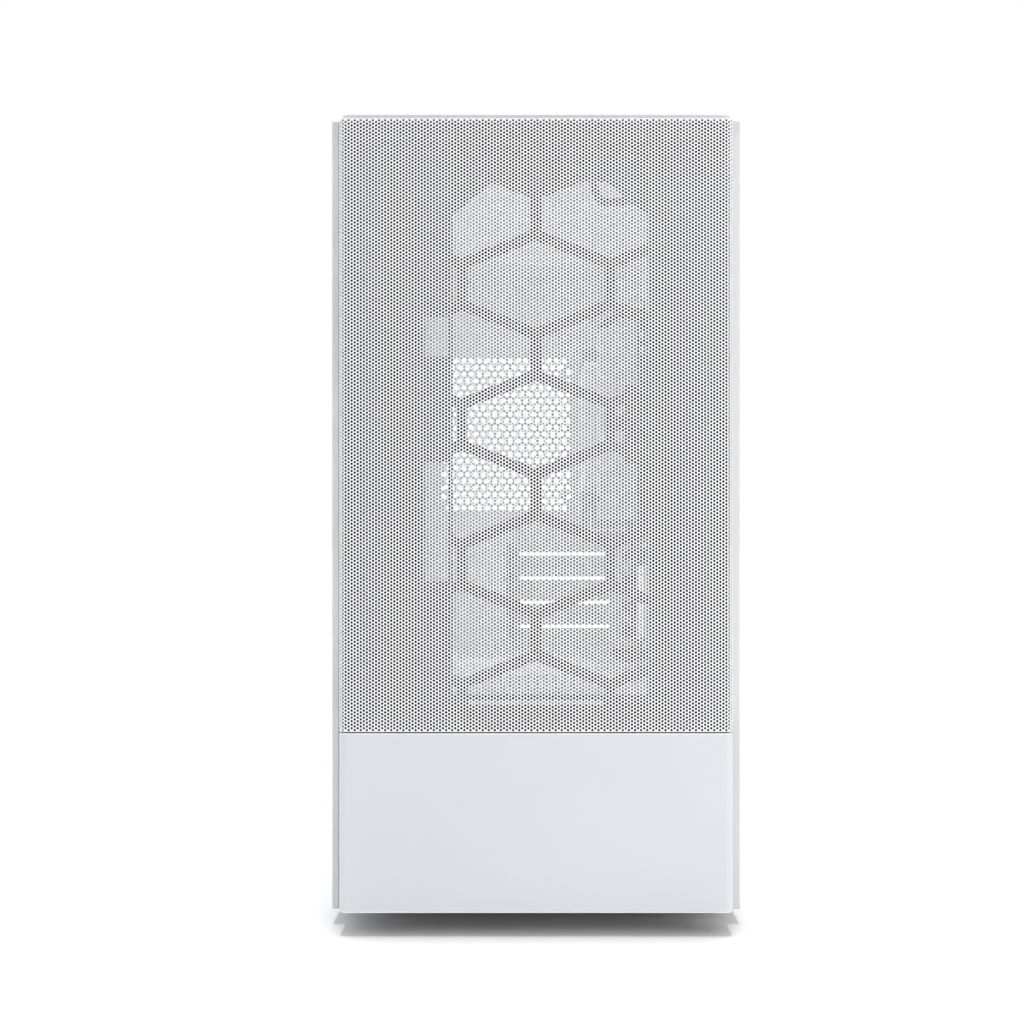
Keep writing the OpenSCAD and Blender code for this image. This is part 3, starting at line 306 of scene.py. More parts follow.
def looseBoxes(node):
    # the box of each separate solid of a node, in mm, lowest first
    bm = bmesh.new()
    bm.from_mesh(nodes[node].data)
    bmesh.ops.remove_doubles(bm, verts=bm.verts, dist=cleaning["weld"])
    left, found = set(bm.verts), []
    while left:
        stack = [left.pop()]
        group = list(stack)
        while stack:
            for e in stack.pop().link_edges:
                for v in e.verts:
                    if v in left:
                        left.discard(v)
                        stack.append(v)
                        group.append(v)
        co = np.array([v.co for v in group]) / mm
        found.append((Vector(co.min(0)), Vector(co.max(0))))
    bm.free()
    return sorted(found, key=lambda b: (round(b[0].z, 2), round(b[0].y, 2), round(b[0].x, 2)))


# ---- camera, floor and lights

# distances in mm, and how far the view is shifted, as a share of its width
view = {"away": 610, "height": 201, "lens": 41.7, "sensor": 36, "shiftX": -0.023438,
        "shiftY": 0.033203, "near": 10, "far": 50000}


def addCamera(look):
    cam = bpy.data.objects.new("camera", bpy.data.cameras.new("camera"))
    putInScene(cam)
    cam.location = (0, cadBox[0].y - look["away"] * mm, look["height"] * mm)
    cam.rotation_euler = (math.radians(90), 0, 0)
    cam.data.lens = look["lens"]
    cam.data.sensor_width = look["sensor"]
    cam.data.shift_x = look["shiftX"]
    cam.data.shift_y = look["shiftY"]
    cam.data.clip_start = look["near"] * mm
    cam.data.clip_end = look["far"] * mm
    bpy.context.scene.camera = cam


# sizes in metres; the air's light grows from airFrom to airFull, as shares of straight up
studio = {"floorSize": 60, "floor": (0.93, 0.93, 0.935), "floorRough": 0.7, "backdrop": 1.0,
          "air": 0.82, "airFrom": 0.05, "airFull": 0.6, "aim": (0, 0, 0.22)}
# soft light from straight above, a touch from behind
sky = {"power": 1.9, "angle": 10, "tilt": 0.3}
lamps = {
    "rightLamp": {"at": (0.75, -0.75, 0.35), "size": 0.5, "power": 2.2, "colour": (1.0, 0.95, 0.95)},
    "leftLamp": {"at": (-1.3, -0.5, 0.5), "size": 0.8, "power": 1.4, "colour": (0.9, 0.95, 1.0)},
    "doorLamp": {"at": (-1.3, 0.3, 0.6), "size": 0.9, "power": 1.6, "colour": (0.95, 0.97, 1.0)},
    "rearLamp": {"at": (0.2, 1.6, 0.6), "size": 0.9, "power": 1.2, "colour": (1, 1, 1)},
}


def addStudio():
    world = bpy.data.worlds.new("studioAir")
    world.use_nodes = True
    nodes, links = world.node_tree.nodes, world.node_tree.links
    air = nodes["Background"]
    way = nodes.new("ShaderNodeTexCoord")
    split = nodes.new("ShaderNodeSeparateXYZ")
    height = nodes.new("ShaderNodeMapRange")
    height.interpolation_type = "SMOOTHSTEP"
    height.inputs["From Min"].default_value = studio["airFrom"]
    height.inputs["From Max"].default_value = studio["airFull"]
    height.inputs["To Max"].default_value = studio["air"]
    links.new(way.outputs["Generated"], split.inputs[0])
    links.new(split.outputs["Z"], height.inputs["Value"])
    links.new(height.outputs["Result"], air.inputs["Strength"])
    backdrop = nodes.new("ShaderNodeBackground")
    backdrop.inputs["Strength"].default_value = studio["backdrop"]
    for part in (air, backdrop):
        part.inputs["Color"].default_value = (1, 1, 1, 1)
    # what is looked at, also through glass, is the backdrop; all else is lit by the air
    rays = nodes.new("ShaderNodeLightPath")
    seen = nodes.new("ShaderNodeMath")
    seen.operation = "MAXIMUM"
    links.new(rays.outputs["Is Camera Ray"], seen.inputs[0])
    links.new(rays.outputs["Is Transmission Ray"], seen.inputs[1])
    both = nodes.new("ShaderNodeMixShader")
    links.new(seen.outputs[0], both.inputs[0])
    links.new(air.outputs[0], both.inputs[1])
    links.new(backdrop.outputs[0], both.inputs[2])
    links.new(both.outputs[0], nodes["World Output"].inputs["Surface"])
    bpy.context.scene.world = world
    bpy.context.scene.view_settings.view_transform = "Standard"

    mesh = bpy.data.meshes.new("floor")
    h = studio["floorSize"] / 2
    mesh.from_pydata([(-h, -h, 0), (h, -h, 0), (h, h, 0), (-h, h, 0)], [], [(0, 1, 2, 3)])
    floor = bpy.data.objects.new("floor", mesh)
    putInScene(floor)
    paper = bpy.data.materials.new("floorPaper")
    paper.use_nodes = True
    shader = paper.node_tree.nodes["Principled BSDF"]
    shader.inputs["Base Color"].default_value = (*studio["floor"], 1)
    shader.inputs["Roughness"].default_value = studio["floorRough"]
    mesh.materials.append(paper)

    above = bpy.data.lights.new("skyLamp", "SUN")
    above.energy = sky["power"]
    above.angle = math.radians(sky["angle"])
    holder = bpy.data.objects.new("skyLamp", above)
    holder.rotation_euler.x = math.radians(-sky["tilt"])
    putInScene(holder)

    for name, look in lamps.items():
        lamp = bpy.data.lights.new(name, "AREA")
        lamp.size = look["size"]
        lamp.energy = look["power"]
        lamp.color = look["colour"]
        holder = bpy.data.objects.new(name, lamp)
        putInScene(holder)
        holder.visible_camera = False
        holder.location = look["at"]
        aim = Vector(studio["aim"]) - holder.location
        holder.rotation_euler = aim.to_track_quat("-Z", "Y").to_euler()


addCamera(view)
addStudio()
print("stage: camera and studio set")


# ---- finishes of the CAD nodes

nodeFinish = {
    "innerWhitePaint": ["floor_pan", "rear_panel", "top_frame", "motherboard_tray", "psu_shroud",
                        "slot_covers", "door_hinge_plates"],
    # the front plate is black as painted shade behind the mesh holes; the power supply's housing is
    # black of its own
    "blackPowderCoatAndPaintedShade": ["front_plate", "psu_housing"],
    "zincPlate": ["drive_cage", "usb_ports", "processor_socket", "rear_ports", "io_shield",
                  "door_magnets"],
    "nickelPlate": ["processor"],
    "whitePowderCoat": ["side_panel", "door_stile"],
    "whitePlastic": ["front_band", "roof_cover", "power_button", "cooler_fan_frame"],
    # the front carrier's black, behind the mesh and along the bottom under the front band, is partly its
    # own colour and partly painted shade
    "blackPlastic": ["front_carrier", "drive_caddies", "solid_state_drive", "audio_jacks",
                     "psu_inlet", "psu_fan_frame", "psu_switch", "memory_slots",
                     "expansion_slots", "board_power_sockets", "reset_button",
                     "front_io_board"],
    "castAluminium": ["hard_drive"],
    "softRubber": ["feet", "grommets"],
    "boardLacquer": ["motherboard"],
    "greenLacquer": ["psu_circuit"],
    "turnedBrass": ["standoffs"],
    "whiteLacquer": ["cooler_heatsink", "regulator_heatsink", "chipset_heatsink",
                     "memory_module_a", "memory_module_b"],
}
# edge rounding of the nodes, in mm
nodeEdges = {
    "front_band": 0.9, "roof_cover": 0.7, "side_panel": 0.35, "door_stile": 0.3,
    "feet": 0.8, "power_button": 0.5, "reset_button": 0.3,
    "usb_ports": 0.15, "audio_jacks": 0.2, "psu_switch": 0.6, "psu_inlet": 0.4,
    "memory_module_a": 0.25, "memory_module_b": 0.25, "memory_slots": 0.3,
    "expansion_slots": 0.25, "board_power_sockets": 0.3, "regulator_heatsink": 0.3,
    "chipset_heatsink": 0.3, "processor": 0.4, "processor_socket": 0.2, "hard_drive": 0.8,
    "solid_state_drive": 0.6, "rear_ports": 0.15, "front_io_board": 0.1, "motherboard": 0.1,
    "drive_cage": 0.2, "drive_caddies": 0.4, "front_carrier": 0.6, "grommets": 0.3,
    "floor_pan": 0.25, "front_plate": 0.2, "standoffs": 0.15, "psu_fan_frame": 0.5,
    "cooler_fan_frame": 0.4, "door_hinge_plates": 0.15, "psu_circuit": 0.3,
}
# these nodes' rounded edges take a lighter paint on their bevel faces: a painted highlight
paintedHighlightEdges = ["front_band", "roof_cover", "side_panel"]


def finishNodes():
    for finish, names in nodeFinish.items():
        for name in names:
            mesh = nodes[name].data
            mesh.materials.clear()
            mesh.materials.append(finishes[finish])
    for name, width in nodeEdges.items():
        node = nodes[name]
        weld = node.modifiers.new("weld", "WELD")
        weld.merge_threshold = cleaning["weld"]
        flatten = node.modifiers.new("flatten", "DECIMATE")
        flatten.decimate_type = "DISSOLVE"
        flatten.angle_limit = math.radians(cleaning["flat"])
        edge = bevelled(node, width)
        # the bevel faces of these nodes get the lighter paint, a painted highlight along the edge
        if name in paintedHighlightEdges:
            node.data.materials.append(finishes["paintedEdgeHighlight"])
            edge.material = 1


finishNodes()
print("stage: CAD nodes finished")


# ---- perforated front

frontMesh = {"pitch": 1.81, "hole": 1.36, "holeSides": 8, "sheet": 0.4, "corner": 4.0,
             "margin": 0.05, "bendGap": 0.01, "topSteps": 60}


def frontOutline(low, high, corner):
    # the sheet's outer line seen from above: length along it, place and outward direction
    half = high.x
    side = high.y - low.y - corner
    bend = corner * math.pi / 2
    front = 2 * (half - corner)

    def spot(s):
        if s < side:
            return (-half, high.y - s), (-1, 0)
        s -= side
        if s < bend:
            a = s / corner
            return ((-half + corner - corner * math.cos(a), low.y + corner - corner * math.sin(a)),
                    (-math.cos(a), -math.sin(a)))
        s -= bend
        if s < front:
            return (-half + corner + s, low.y), (0, -1)
        s -= front
        if s < bend:
            a = s / corner
            return ((half - corner + corner * math.sin(a), low.y + corner - corner * math.cos(a)),
                    (math.sin(a), -math.cos(a)))
        s -= bend
        return (half, low.y + corner + s), (1, 0)

    return spot, side, bend, front


def makeFrontMesh(look):
    low, high = (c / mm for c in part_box("front_mesh"))
    spot, side, bend, front = frontOutline(low, high, look["corner"])
    total = 2 * (side + bend) + front
    columnStep = look["pitch"] * math.sqrt(3) / 2
    height = high.z - low.z
    rows = int((height - 2 * look["margin"]) / look["pitch"])
    columns = int((front + 2 * bend) / columnStep)
    half = (height - 2 * look["margin"]) / rows / 2
    s0 = (total - columns * columnStep) / 2
    z0 = low.z + look["margin"]

    # grid of cell corners, and the eight corners of each hole
    gridS = s0 + columnStep * np.arange(columns + 1)
    gridZ = z0 + half * np.arange(2 * rows + 1)
    flatPoints = [(s, z) for s in gridS for z in gridZ]

    def gridAt(i, j):
        return i * (2 * rows + 1) + j

    sides = look["holeSides"]
    turn = 2 * math.pi / sides
    radius = look["hole"] / 2
    rim = [(radius * math.cos(k * turn), radius * math.sin(k * turn)) for k in range(sides)]
    faces, walls = [], []
    for i in range(columns):
        odd = i % 2
        mid = s0 + (i + 0.5) * columnStep
        if odd:
            last = 2 * rows
            faces.append((gridAt(i, 0), gridAt(i + 1, 0), gridAt(i + 1, 1), gridAt(i, 1)))
            faces.append((gridAt(i, last - 1), gridAt(i + 1, last - 1),
                          gridAt(i + 1, last), gridAt(i, last)))
        for k in range(rows - odd):
            j = 2 * k + odd
            zc = z0 + (j + 1) * half
            h = len(flatPoints)
            flatPoints.extend((mid + a, zc + b) for a, b in rim)
            right = gridAt(i + 1, j + 1)
            rightUp, leftUp = gridAt(i + 1, j + 2), gridAt(i, j + 2)
            left, leftDown, rightDown = gridAt(i, j + 1), gridAt(i, j), gridAt(i + 1, j)
            faces += [(right, rightUp, h + 1, h), (rightUp, h + 2, h + 1), (rightUp, leftUp, h + 2),
                      (leftUp, h + 3, h + 2), (leftUp, left, h + 4, h + 3),
                      (left, leftDown, h + 5, h + 4), (leftDown, h + 6, h + 5),
                      (leftDown, rightDown, h + 6), (rightDown, h + 7, h + 6),
                      (rightDown, right, h, h + 7)]
            walls.append(h)

    # plain strips round the holes, out to the sheet's ends
    count = len(flatPoints)
    leftEnds = [0.0, side * 0.5, side - look["bendGap"]]
    rightEnds = [total - s for s in reversed(leftEnds)]
    rowTop = 2 * rows
    edgeS = leftEnds + list(gridS) + rightEnds
    bottomRow = [count + n for n in range(len(edgeS))]
    flatPoints += [(s, low.z) for s in edgeS]
    topRow = [len(flatPoints) + n for n in range(len(edgeS))]
    flatPoints += [(s, high.z) for s in edgeS]
    for n in range(len(gridS) - 1):
        a = n + len(leftEnds)
        faces.append((bottomRow[a], bottomRow[a + 1], gridAt(n + 1, 0), gridAt(n, 0)))
        faces.append((gridAt(n, rowTop), gridAt(n + 1, rowTop), topRow[a + 1], topRow[a]))
    for a in range(len(leftEnds) - 1):
        c = len(edgeS) - 1 - a
        faces.append((bottomRow[a], bottomRow[a + 1], topRow[a + 1], topRow[a]))
        faces.append((bottomRow[c - 1], bottomRow[c], topRow[c], topRow[c - 1]))
    a = len(leftEnds) - 1
    c = len(edgeS) - len(rightEnds)
    leftGrid = [gridAt(0, j) for j in range(rowTop + 1)]
    rightGrid = [gridAt(columns, j) for j in range(rowTop, -1, -1)]
    faces.append((bottomRow[a], bottomRow[a + 1], *leftGrid, topRow[a + 1], topRow[a]))
    faces.append((bottomRow[c], topRow[c], topRow[c - 1], *rightGrid, bottomRow[c - 1]))

    # bend the flat sheet round the outline, once for each side of the metal
    bends = {s: spot(s) for s in {p[0] for p in flatPoints}}
    outer, inner = [], []
    for s, z in flatPoints:
        (x, y), (nx, ny) = bends[s]
        outer.append((x, y, z))
        inner.append((x - nx * look["sheet"], y - ny * look["sheet"], z))
    n = len(flatPoints)
    allFaces = list(faces) + [tuple(v + n for v in f[::-1]) for f in faces]
    for h in walls:
        for k in range(sides):
            a, b = h + k, h + (k + 1) % sides
            allFaces.append((a, b, b + n, a + n))
    for row, flip in ((bottomRow, False), (topRow, True)):
        for a, b in zip(row, row[1:]):
            quad = (a, a + n, b + n, b)
            allFaces.append(quad[::-1] if flip else quad)
    for a, b in ((topRow[0], bottomRow[0]), (bottomRow[-1], topRow[-1])):
        allFaces.append((a, a + n, b + n, b))
    mesh = bpy.data.meshes.new("frontMesh")
    mesh.from_pydata((np.array(outer + inner) * mm).tolist(), [], allFaces)
    mesh.validate()
    # the sheet takes the lighter white, painted light on the perforated front
    piece = addPiece("frontMesh", mesh, "meshPaintWithPaintedLight", "front_panel", True)

    # the rims of the holes and the sheet's own edges stay crisp
    edgePairs = np.empty(len(mesh.edges) * 2, int)
    mesh.edges.foreach_get("vertices", edgePairs)
    edgePairs = edgePairs.reshape(-1, 2)
    isRim = np.zeros(2 * n, bool)
    isRim[gridAt(columns + 1, 0):] = True
    sameSide = (edgePairs[:, 0] < n) == (edgePairs[:, 1] < n)
    sharp = isRim[edgePairs[:, 0]] & isRim[edgePairs[:, 1]] & sameSide
    mark = mesh.attributes.new("sharp_edge", "BOOLEAN", "EDGE")
    mark.data.foreach_set("value", sharp)
    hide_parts("front_mesh")
    print("front mesh:", len(walls), "holes,", len(allFaces), "faces")


def makeFrontMeshTop(look):
    # the folded top of the sheet, inside its bend
    low, high = (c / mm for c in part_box("front_mesh"))
    spot, side, bend, front = frontOutline(low, high, look["corner"])
    total = 2 * (side + bend) + front
    thick = look["sheet"]
    line = [(x - nx * thick, y - ny * thick)
            for (x, y), (nx, ny) in map(spot, np.linspace(0, total, look["topSteps"]))]
    bm = bmesh.new()
    below = [bm.verts.new((x, y, high.z - thick)) for x, y in line]
    above = [bm.verts.new((x, y, high.z)) for x, y in line]
    bm.faces.new(above)
    bm.faces.new(below[::-1])
    joinRings(bm, below, above)
    pieceFrom("frontMeshTop", bm, "whitePowderCoat", "front_panel")


makeFrontMesh(frontMesh)
makeFrontMeshTop(frontMesh)
print("stage: perforated front made")


# ---- glass of the door, with ground edges and a printed border

doorGlass = {"chamfer": 0.6, "border": 13, "print": 0.06, "printInset": 0.7}


def makeDoorGlass(look):
    low, high = (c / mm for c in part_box("glass_door"))
    bm = bmesh.new()
    addBox(bm, low, high)
    bmesh.ops.bevel(bm, geom=list(bm.edges), offset=look["chamfer"], segments=1,
                    affect="EDGES")
    pane = pieceFrom("doorGlassPane", bm, "doorGlass", "door")
    pane.data.materials.append(finishes["groundEdge"])
    for face in pane.data.polygons:
        face.material_index = 0 if abs(face.normal.x) > 0.9 else 1
    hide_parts("glass_door")

    # white print round the inner face
    wide, inset = look["border"], look["printInset"]
    x0, x1 = high.x - look["print"], high.x + look["print"]
    y0, y1, z0, z1 = low.y + inset, high.y - inset, low.z + inset, high.z - inset
    bm = bmesh.new()
    addBox(bm, (x0, y0, z0), (x1, y0 + wide, z1))
    addBox(bm, (x0, y1 - wide, z0), (x1, y1, z1))
    addBox(bm, (x0, y0 + wide, z0), (x1, y1 - wide, z0 + wide))
    addBox(bm, (x0, y0 + wide, z1 - wide), (x1, y1 - wide, z1))
    pieceFrom("doorGlassBorder", bm, "whiteCeramic", "door")


makeDoorGlass(doorGlass)
print("stage: door glass made")


# ---- filters: a moulded frame over a woven net

roofFilter = {"rim": 6, "edge": 0.4, "ribs": 2, "ribHalf": 2, "ribHigh": 1.6, "tab": 0,
              "finish": "whitePlastic", "slot": "white_plastic", "net": "filterNet",
              "pitch": 1.5, "thread": 0.42, "threadHigh": 0.3, "netAt": 0.2, "crossAt": 0.44,
              "tuck": 1}
floorFilter = {**roofFilter, "ribs": 1, "tab": 5, "tabHalf": 12, "finish": "blackPlastic",
               "slot": "black_plastic", "net": "blackPlastic"}


def makeFilter(name, node, body, look):
    low, high = (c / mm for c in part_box(node))
    tab = look["tab"]
    high.y -= tab
    rim = look["rim"]
    bm = bmesh.new()
    addBox(bm, low, (low.x + rim, high.y, high.z))
    addBox(bm, (high.x - rim, low.y, low.z), high)
    addBox(bm, (low.x + rim, low.y, low.z), (high.x - rim, low.y + rim, high.z))
    addBox(bm, (low.x + rim, high.y - rim, low.z), (high.x - rim, high.y, high.z))
    for k in range(look["ribs"]):
        y = low.y + (high.y - low.y) * (k + 1) / (look["ribs"] + 1)
        addBox(bm, (low.x + rim, y - look["ribHalf"], low.z),
               (high.x - rim, y + look["ribHalf"], low.z + look["ribHigh"]))
    if tab:
        mid = (low.x + high.x) / 2
        addBox(bm, (mid - look["tabHalf"], high.y, low.z),
               (mid + look["tabHalf"], high.y + tab, high.z))
    rimPiece = pieceFrom(name + "Frame", bm, look["finish"], body)
    bevelled(rimPiece, look["edge"])
    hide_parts(node)

    bm = bmesh.new()
    half = look["thread"] / 2
    step = look["pitch"]
    end = rim - look["tuck"]
    z = low.z + look["netAt"]
    for k in range(int((high.x - low.x - 2 * rim) / step)):
        x = low.x + rim + (k + 0.5) * step
        addBox(bm, (x - half, low.y + end, z), (x + half, high.y - end, z + look["threadHigh"]))
    z = low.z + look["crossAt"]
    for k in range(int((high.y - low.y - 2 * rim) / step)):
        y = low.y + rim + (k + 0.5) * step
        addBox(bm, (low.x + end, y - half, z), (high.x - end, y + half, z + look["threadHigh"]))
    pieceFrom(name + "Net", bm, look["net"], body)


makeFilter("roofFilter", "top_filter", "roof_filter", roofFilter)
makeFilter("floorFilter", "psu_filter", "floor_filter", floorFilter)
print("stage: filters made")


# ---- fan rotors

coolerRotor = {"hub": 16, "hubLow": 2.7, "shaft": 1.45, "blades": 9, "thick": 1.1, "bow": 0.1,
               "rootPitch": 46, "tipPitch": 30, "sweep": 14, "across": 9, "up": 7}
supplyRotor = {**coolerRotor, "hub": 20, "shaft": 1.95, "blades": 7, "thick": 1.4,
               "rootPitch": 48, "sweep": 18}


def makeRotor(name, node, body, finish, look, along):
    # along turns the rotor's own Z to its axle's direction, the spider's side first
    low, high = (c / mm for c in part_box(node))
    mid = (low + high) / 2
    axle = along @ Vector((0, 0, 1))
    length = abs((high - low).dot(axle))
    tip = max(high - low) / 2
    place = Matrix.Translation(mid - axle * length / 2) @ along.to_4x4()
    hub, hubLow = look["hub"], look["hubLow"]
    bm = bmesh.new()
    addTurned(bm, [(hub - 1.5, hubLow + 0.1), (hub, hubLow + 0.8), (hub, length - 1.2),
                   (hub - 0.5, length - 0.4), (hub - 1.4, length), (hub * 0.5, length),
                   (hub * 0.46, length - 0.35)], 48, place)
    addTurned(bm, [(look["shaft"], 0), (look["shaft"], hubLow + 0.4)], 20, place)
    across, up = look["across"], look["up"]
    deep = length - hubLow - 1.2
    apart = 2 * math.pi / look["blades"]
    for n in range(look["blades"]):
        start = apart * n
        both = []
        for side in (0.5, -0.5):
            sheet = []
            for i in range(across):
                t = i / (across - 1)
                r = hub - 0.8 + (tip - hub + 0.8) * t
                pitch = math.radians(look["rootPitch"] + (look["tipPitch"] - look["rootPitch"]) * t)
                wide = min(deep / math.tan(pitch) / r, apart * 0.9)
                lean = math.radians(look["sweep"]) * t * t
                row = []
                for j in range(up):
                    u = j / (up - 1) - 0.5
                    bow = look["bow"] * deep * (1 - 4 * u * u)
                    fine = look["thick"] * (1 - 1.2 * abs(u)) * side
                    a = start + lean + u * wide
                    h = hubLow + 0.6 + deep / 2 + u * deep * 0.92 - bow * 0.6
                    spot = Vector((r * math.cos(a), r * math.sin(a), h + fine))
                    row.append(bm.verts.new(place @ spot))
                sheet.append(row)
            both.append(sheet)
        top, bottom = both
        for i in range(across - 1):
            for j in range(up - 1):
                bm.faces.new((top[i][j], top[i + 1][j], top[i + 1][j + 1], top[i][j + 1]))
                bm.faces.new((bottom[i][j], bottom[i][j + 1], bottom[i + 1][j + 1], bottom[i + 1][j]))
            for j in (0, up - 1):
                bm.faces.new((top[i][j], bottom[i][j], bottom[i + 1][j], top[i + 1][j]))
        for j in range(up - 1):
            for i in (0, across - 1):
                bm.faces.new((top[i][j], bottom[i][j], bottom[i][j + 1], top[i][j + 1]))
    rotor = pieceFrom(name, bm, finish, body, smooth=True)
    markSharp(rotor, 40)
    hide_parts(node)


def markSharp(piece, angle):
    bm = bmesh.new()
    bm.from_mesh(piece.data)
    for e in bm.edges:
        if len(e.link_faces) == 2 and e.calc_face_angle(0) > math.radians(angle):
            e.smooth = False
    bm.to_mesh(piece.data)
    bm.free()


towardDoor = Matrix.Rotation(math.radians(-90), 3, "Y")
downwards = Matrix.Rotation(math.radians(180), 3, "X")
makeRotor("coolerRotor", "cooler_fan_rotor", "cooler_rotor", "whitePlastic",
          coolerRotor, towardDoor)
makeRotor("supplyRotor", "psu_fan_rotor", "supply_rotor", "blackPlastic",
          supplyRotor, downwards)
print("stage: rotors made")


# ---- screws with a cross recess, in place of the plain ones

screwLooks = {
    "board_screws": {"name": "boardScrews", "along": (-1, 0, 0), "rise": 2.2,
                     "dome": 0.9, "finish": "nickelPlate", "body": "chassis"},
    "slot_screws": {"name": "slotScrews", "along": (0, -1, 0), "rise": 2.2,
                    "dome": 0.8, "finish": "zincPlate", "body": "chassis"},
    "psu_screws": {"name": "supplyScrews", "along": (0, 1, 0), "rise": 2.2,
                   "dome": 0.9, "finish": "blackPowderCoatAndPaintedShade", "body": "chassis"},
    "panel_screws": {"name": "panelThumbscrews", "along": (0, 1, 0), "rise": 8.7,
                     "dome": 0.5, "finish": "zincPlate", "body": "side_cover", "teeth": 36},
}
# shares of the head's radius, and the thread's step and largest radius in mm
screwShape = {"steps": 28, "notch": 0.95, "recess": 0.52, "recessHalf": 0.11, "recessDeep": 0.35,
              "recessFloor": 0.75, "threadStep": 0.9, "root": 0.86, "shank": 0.55, "shankMost": 1.6}


def crossOutline(reach, half):
    quarter = [(reach, -half), (reach, half), (half, half)]
    line = []
    for k in range(4):
        c, s = round(math.cos(k * math.pi / 2)), round(math.sin(k * math.pi / 2))
        line += [(x * c - y * s, x * s + y * c) for x, y in quarter]
    return line


def addScrew(bm, look, place, headR, headH, shaftL):
    # a domed head with a cross recess, then the threaded shank, ring by ring
    shape = screwShape
    teeth = look.get("teeth", 0)
    steps = teeth * 2 if teeth else shape["steps"]
    dome = look["dome"]
    profile = [(0.96, 0.0), (1.0, 0.12), (1.0, 1 - dome * 0.6), (0.9, 1 - 0.1 * dome), (0.78, 1.0)]
    rings = []
    for share, h in profile:
        notch = shape["notch"] if teeth and share >= 1.0 else 1.0
        radii = [headR * share * (notch if k % 2 else 1.0) for k in range(steps)]
        rings.append(addRing(bm, radii, h * headH, place))
    for a, b in zip(rings, rings[1:]):
        joinRings(bm, a, b)
    cross = crossOutline(headR * shape["recess"], headR * shape["recessHalf"])
    deep = headH - headR * shape["recessDeep"]
    upper = [bm.verts.new(place @ Vector((x, y, headH))) for x, y in cross]
    lower = [bm.verts.new(place @ Vector((x * shape["recessFloor"], y * shape["recessFloor"], deep)))
             for x, y in cross]
    top = rings[-1]
    rim = [bm.edges.get((top[k], top[(k + 1) % steps])) for k in range(steps)]
    rim += [bm.edges.new((a, b)) for a, b in zip(upper, upper[1:] + upper[:1])]
    bmesh.ops.triangle_fill(bm, use_beauty=True, edges=rim)
    joinRings(bm, upper, lower)
    bm.faces.new(lower)

    shank = min(headR * shape["shank"], shape["shankMost"])
    stops = 2 * max(2, int(shaftL / shape["threadStep"]))
    last = rings[0]
    for k in range(stops + 1):
        r = shank if k % 2 else shank * shape["root"]
        ring = addRing(bm, [r] * steps, -shaftL * k / stops, place)
        joinRings(bm, ring, last)
        last = ring
    bm.faces.new(last[::-1])


def makeScrews(node, look):
    along = Vector(look["along"])
    turn = along.to_track_quat("Z", "Y").to_matrix().to_4x4()
    bm = bmesh.new()
    rng = random.Random(node)
    for low, high in looseBoxes(node):
        mid = (low + high) / 2
        size = high - low
        length = abs(size.dot(along))
        headR = max(size[i] for i in range(3) if abs(along[i]) < 0.5) / 2
        tip = mid + along * length / 2
        headH = min(look["rise"], length * 0.7)
        seat = tip - along * headH
        spin = Matrix.Rotation(rng.uniform(0, math.pi / 2), 4, "Z")
        place = Matrix.Translation(seat) @ turn @ spin
        addScrew(bm, look, place, headR, headH, length - headH)
    piece = pieceFrom(look["name"], bm, look["finish"], look["body"], smooth=True)
    markSharp(piece, 30)
    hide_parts(node)


for screwNode, screwLook in screwLooks.items():
    makeScrews(screwNode, screwLook)
print("stage: screws made")


# ---- cables: bundles of wires along the routes, in mm

cableLooks = {
    "board_power_cable": {"name": "boardPowerWires", "radius": 4.6, "rings": (1, 6, 12), "route": [
        (38, 48.95, 60), (38, 43.95, 60), (38, 26.95, 60), (56, -1.05, 61), (88.25, -23.05, 75),
        (96.25, -35.05, 129), (96.25, -47.05, 171), (96.25, -62.55, 247), (96, -70.55, 277),
        (76, -70.55, 281), (52.9, -57.55, 279), (61.9, -48.55, 279), (66.9, -48.55, 279)]},
    "processor_power_cable": {"name": "processorPowerWires", "radius": 3.2, "rings": (1, 6),
                              "route": [
        (54, 48.95, 63), (54, 44.95, 63), (55, 32.95, 63), (70, 14.95, 67), (91.25, 4.95, 83),
        (96.25, 0.95, 133), (97.25, 8.95, 191), (97.25, 68.95, 355), (96.25, 129.45, 380),
        (96, 157.45, 392), (80, 159.45, 392), (62.9, 158.45, 387), (51.9, 156.45, 372),
        (61.9, 154.45, 354), (66.9, 154.45, 354)]},
    "front_io_cable": {"name": "frontSocketWires", "radius": 2.6, "rings": (0, 3), "route": [
        (32, -150.05, 404), (32, -150.05, 401), (38, -150.05, 392), (64, -137.05, 399),
        (80, -131.05, 400), (94, -131.05, 398), (96.25, -127.05, 376), (96.25, -123.05, 301),
        (96.25, -80.55, 201), (94, -71.55, 141), (80, -69.55, 137), (57.9, -54.55, 129),
        (53.9, 17.45, 126), (66.9, 37.45, 126), (71.9, 37.45, 126)]},
    "drive_power_cable": {"name": "drivePowerWires", "radius": 2.4, "rings": (0, 4), "route": [
        (28, 48.95, 57), (28, 44.95, 57), (28, 30.95, 53), (50, 2.95, 33), (92, -27.05, 33),
        (96, -61.05, 25), (87, -91.05, 25), (82, -91.05, 25)]},
}
# one turn of the wires round each other in mm, and how far a wire fills its place
wireShape = {"twist": 160, "fill": 0.97, "steps": 8}


def smoothRoute(points):
    # the same curve as the solid's, with finer steps
    p = [Vector(v) for v in points]
    way = [p[0]]
    steps = wireShape["steps"]
    for i in range(1, len(p) - 2):
        a, b, c, d = p[i - 1], p[i], p[i + 1], p[i + 2]
        for k in range(steps):
            t = k / steps
            way.append(0.5 * (2 * b + (c - a) * t + (2 * a - 5 * b + 4 * c - d) * t * t
                              + (3 * b - a - 3 * c + d) * t ** 3))
    return way + [p[-2], p[-1]]


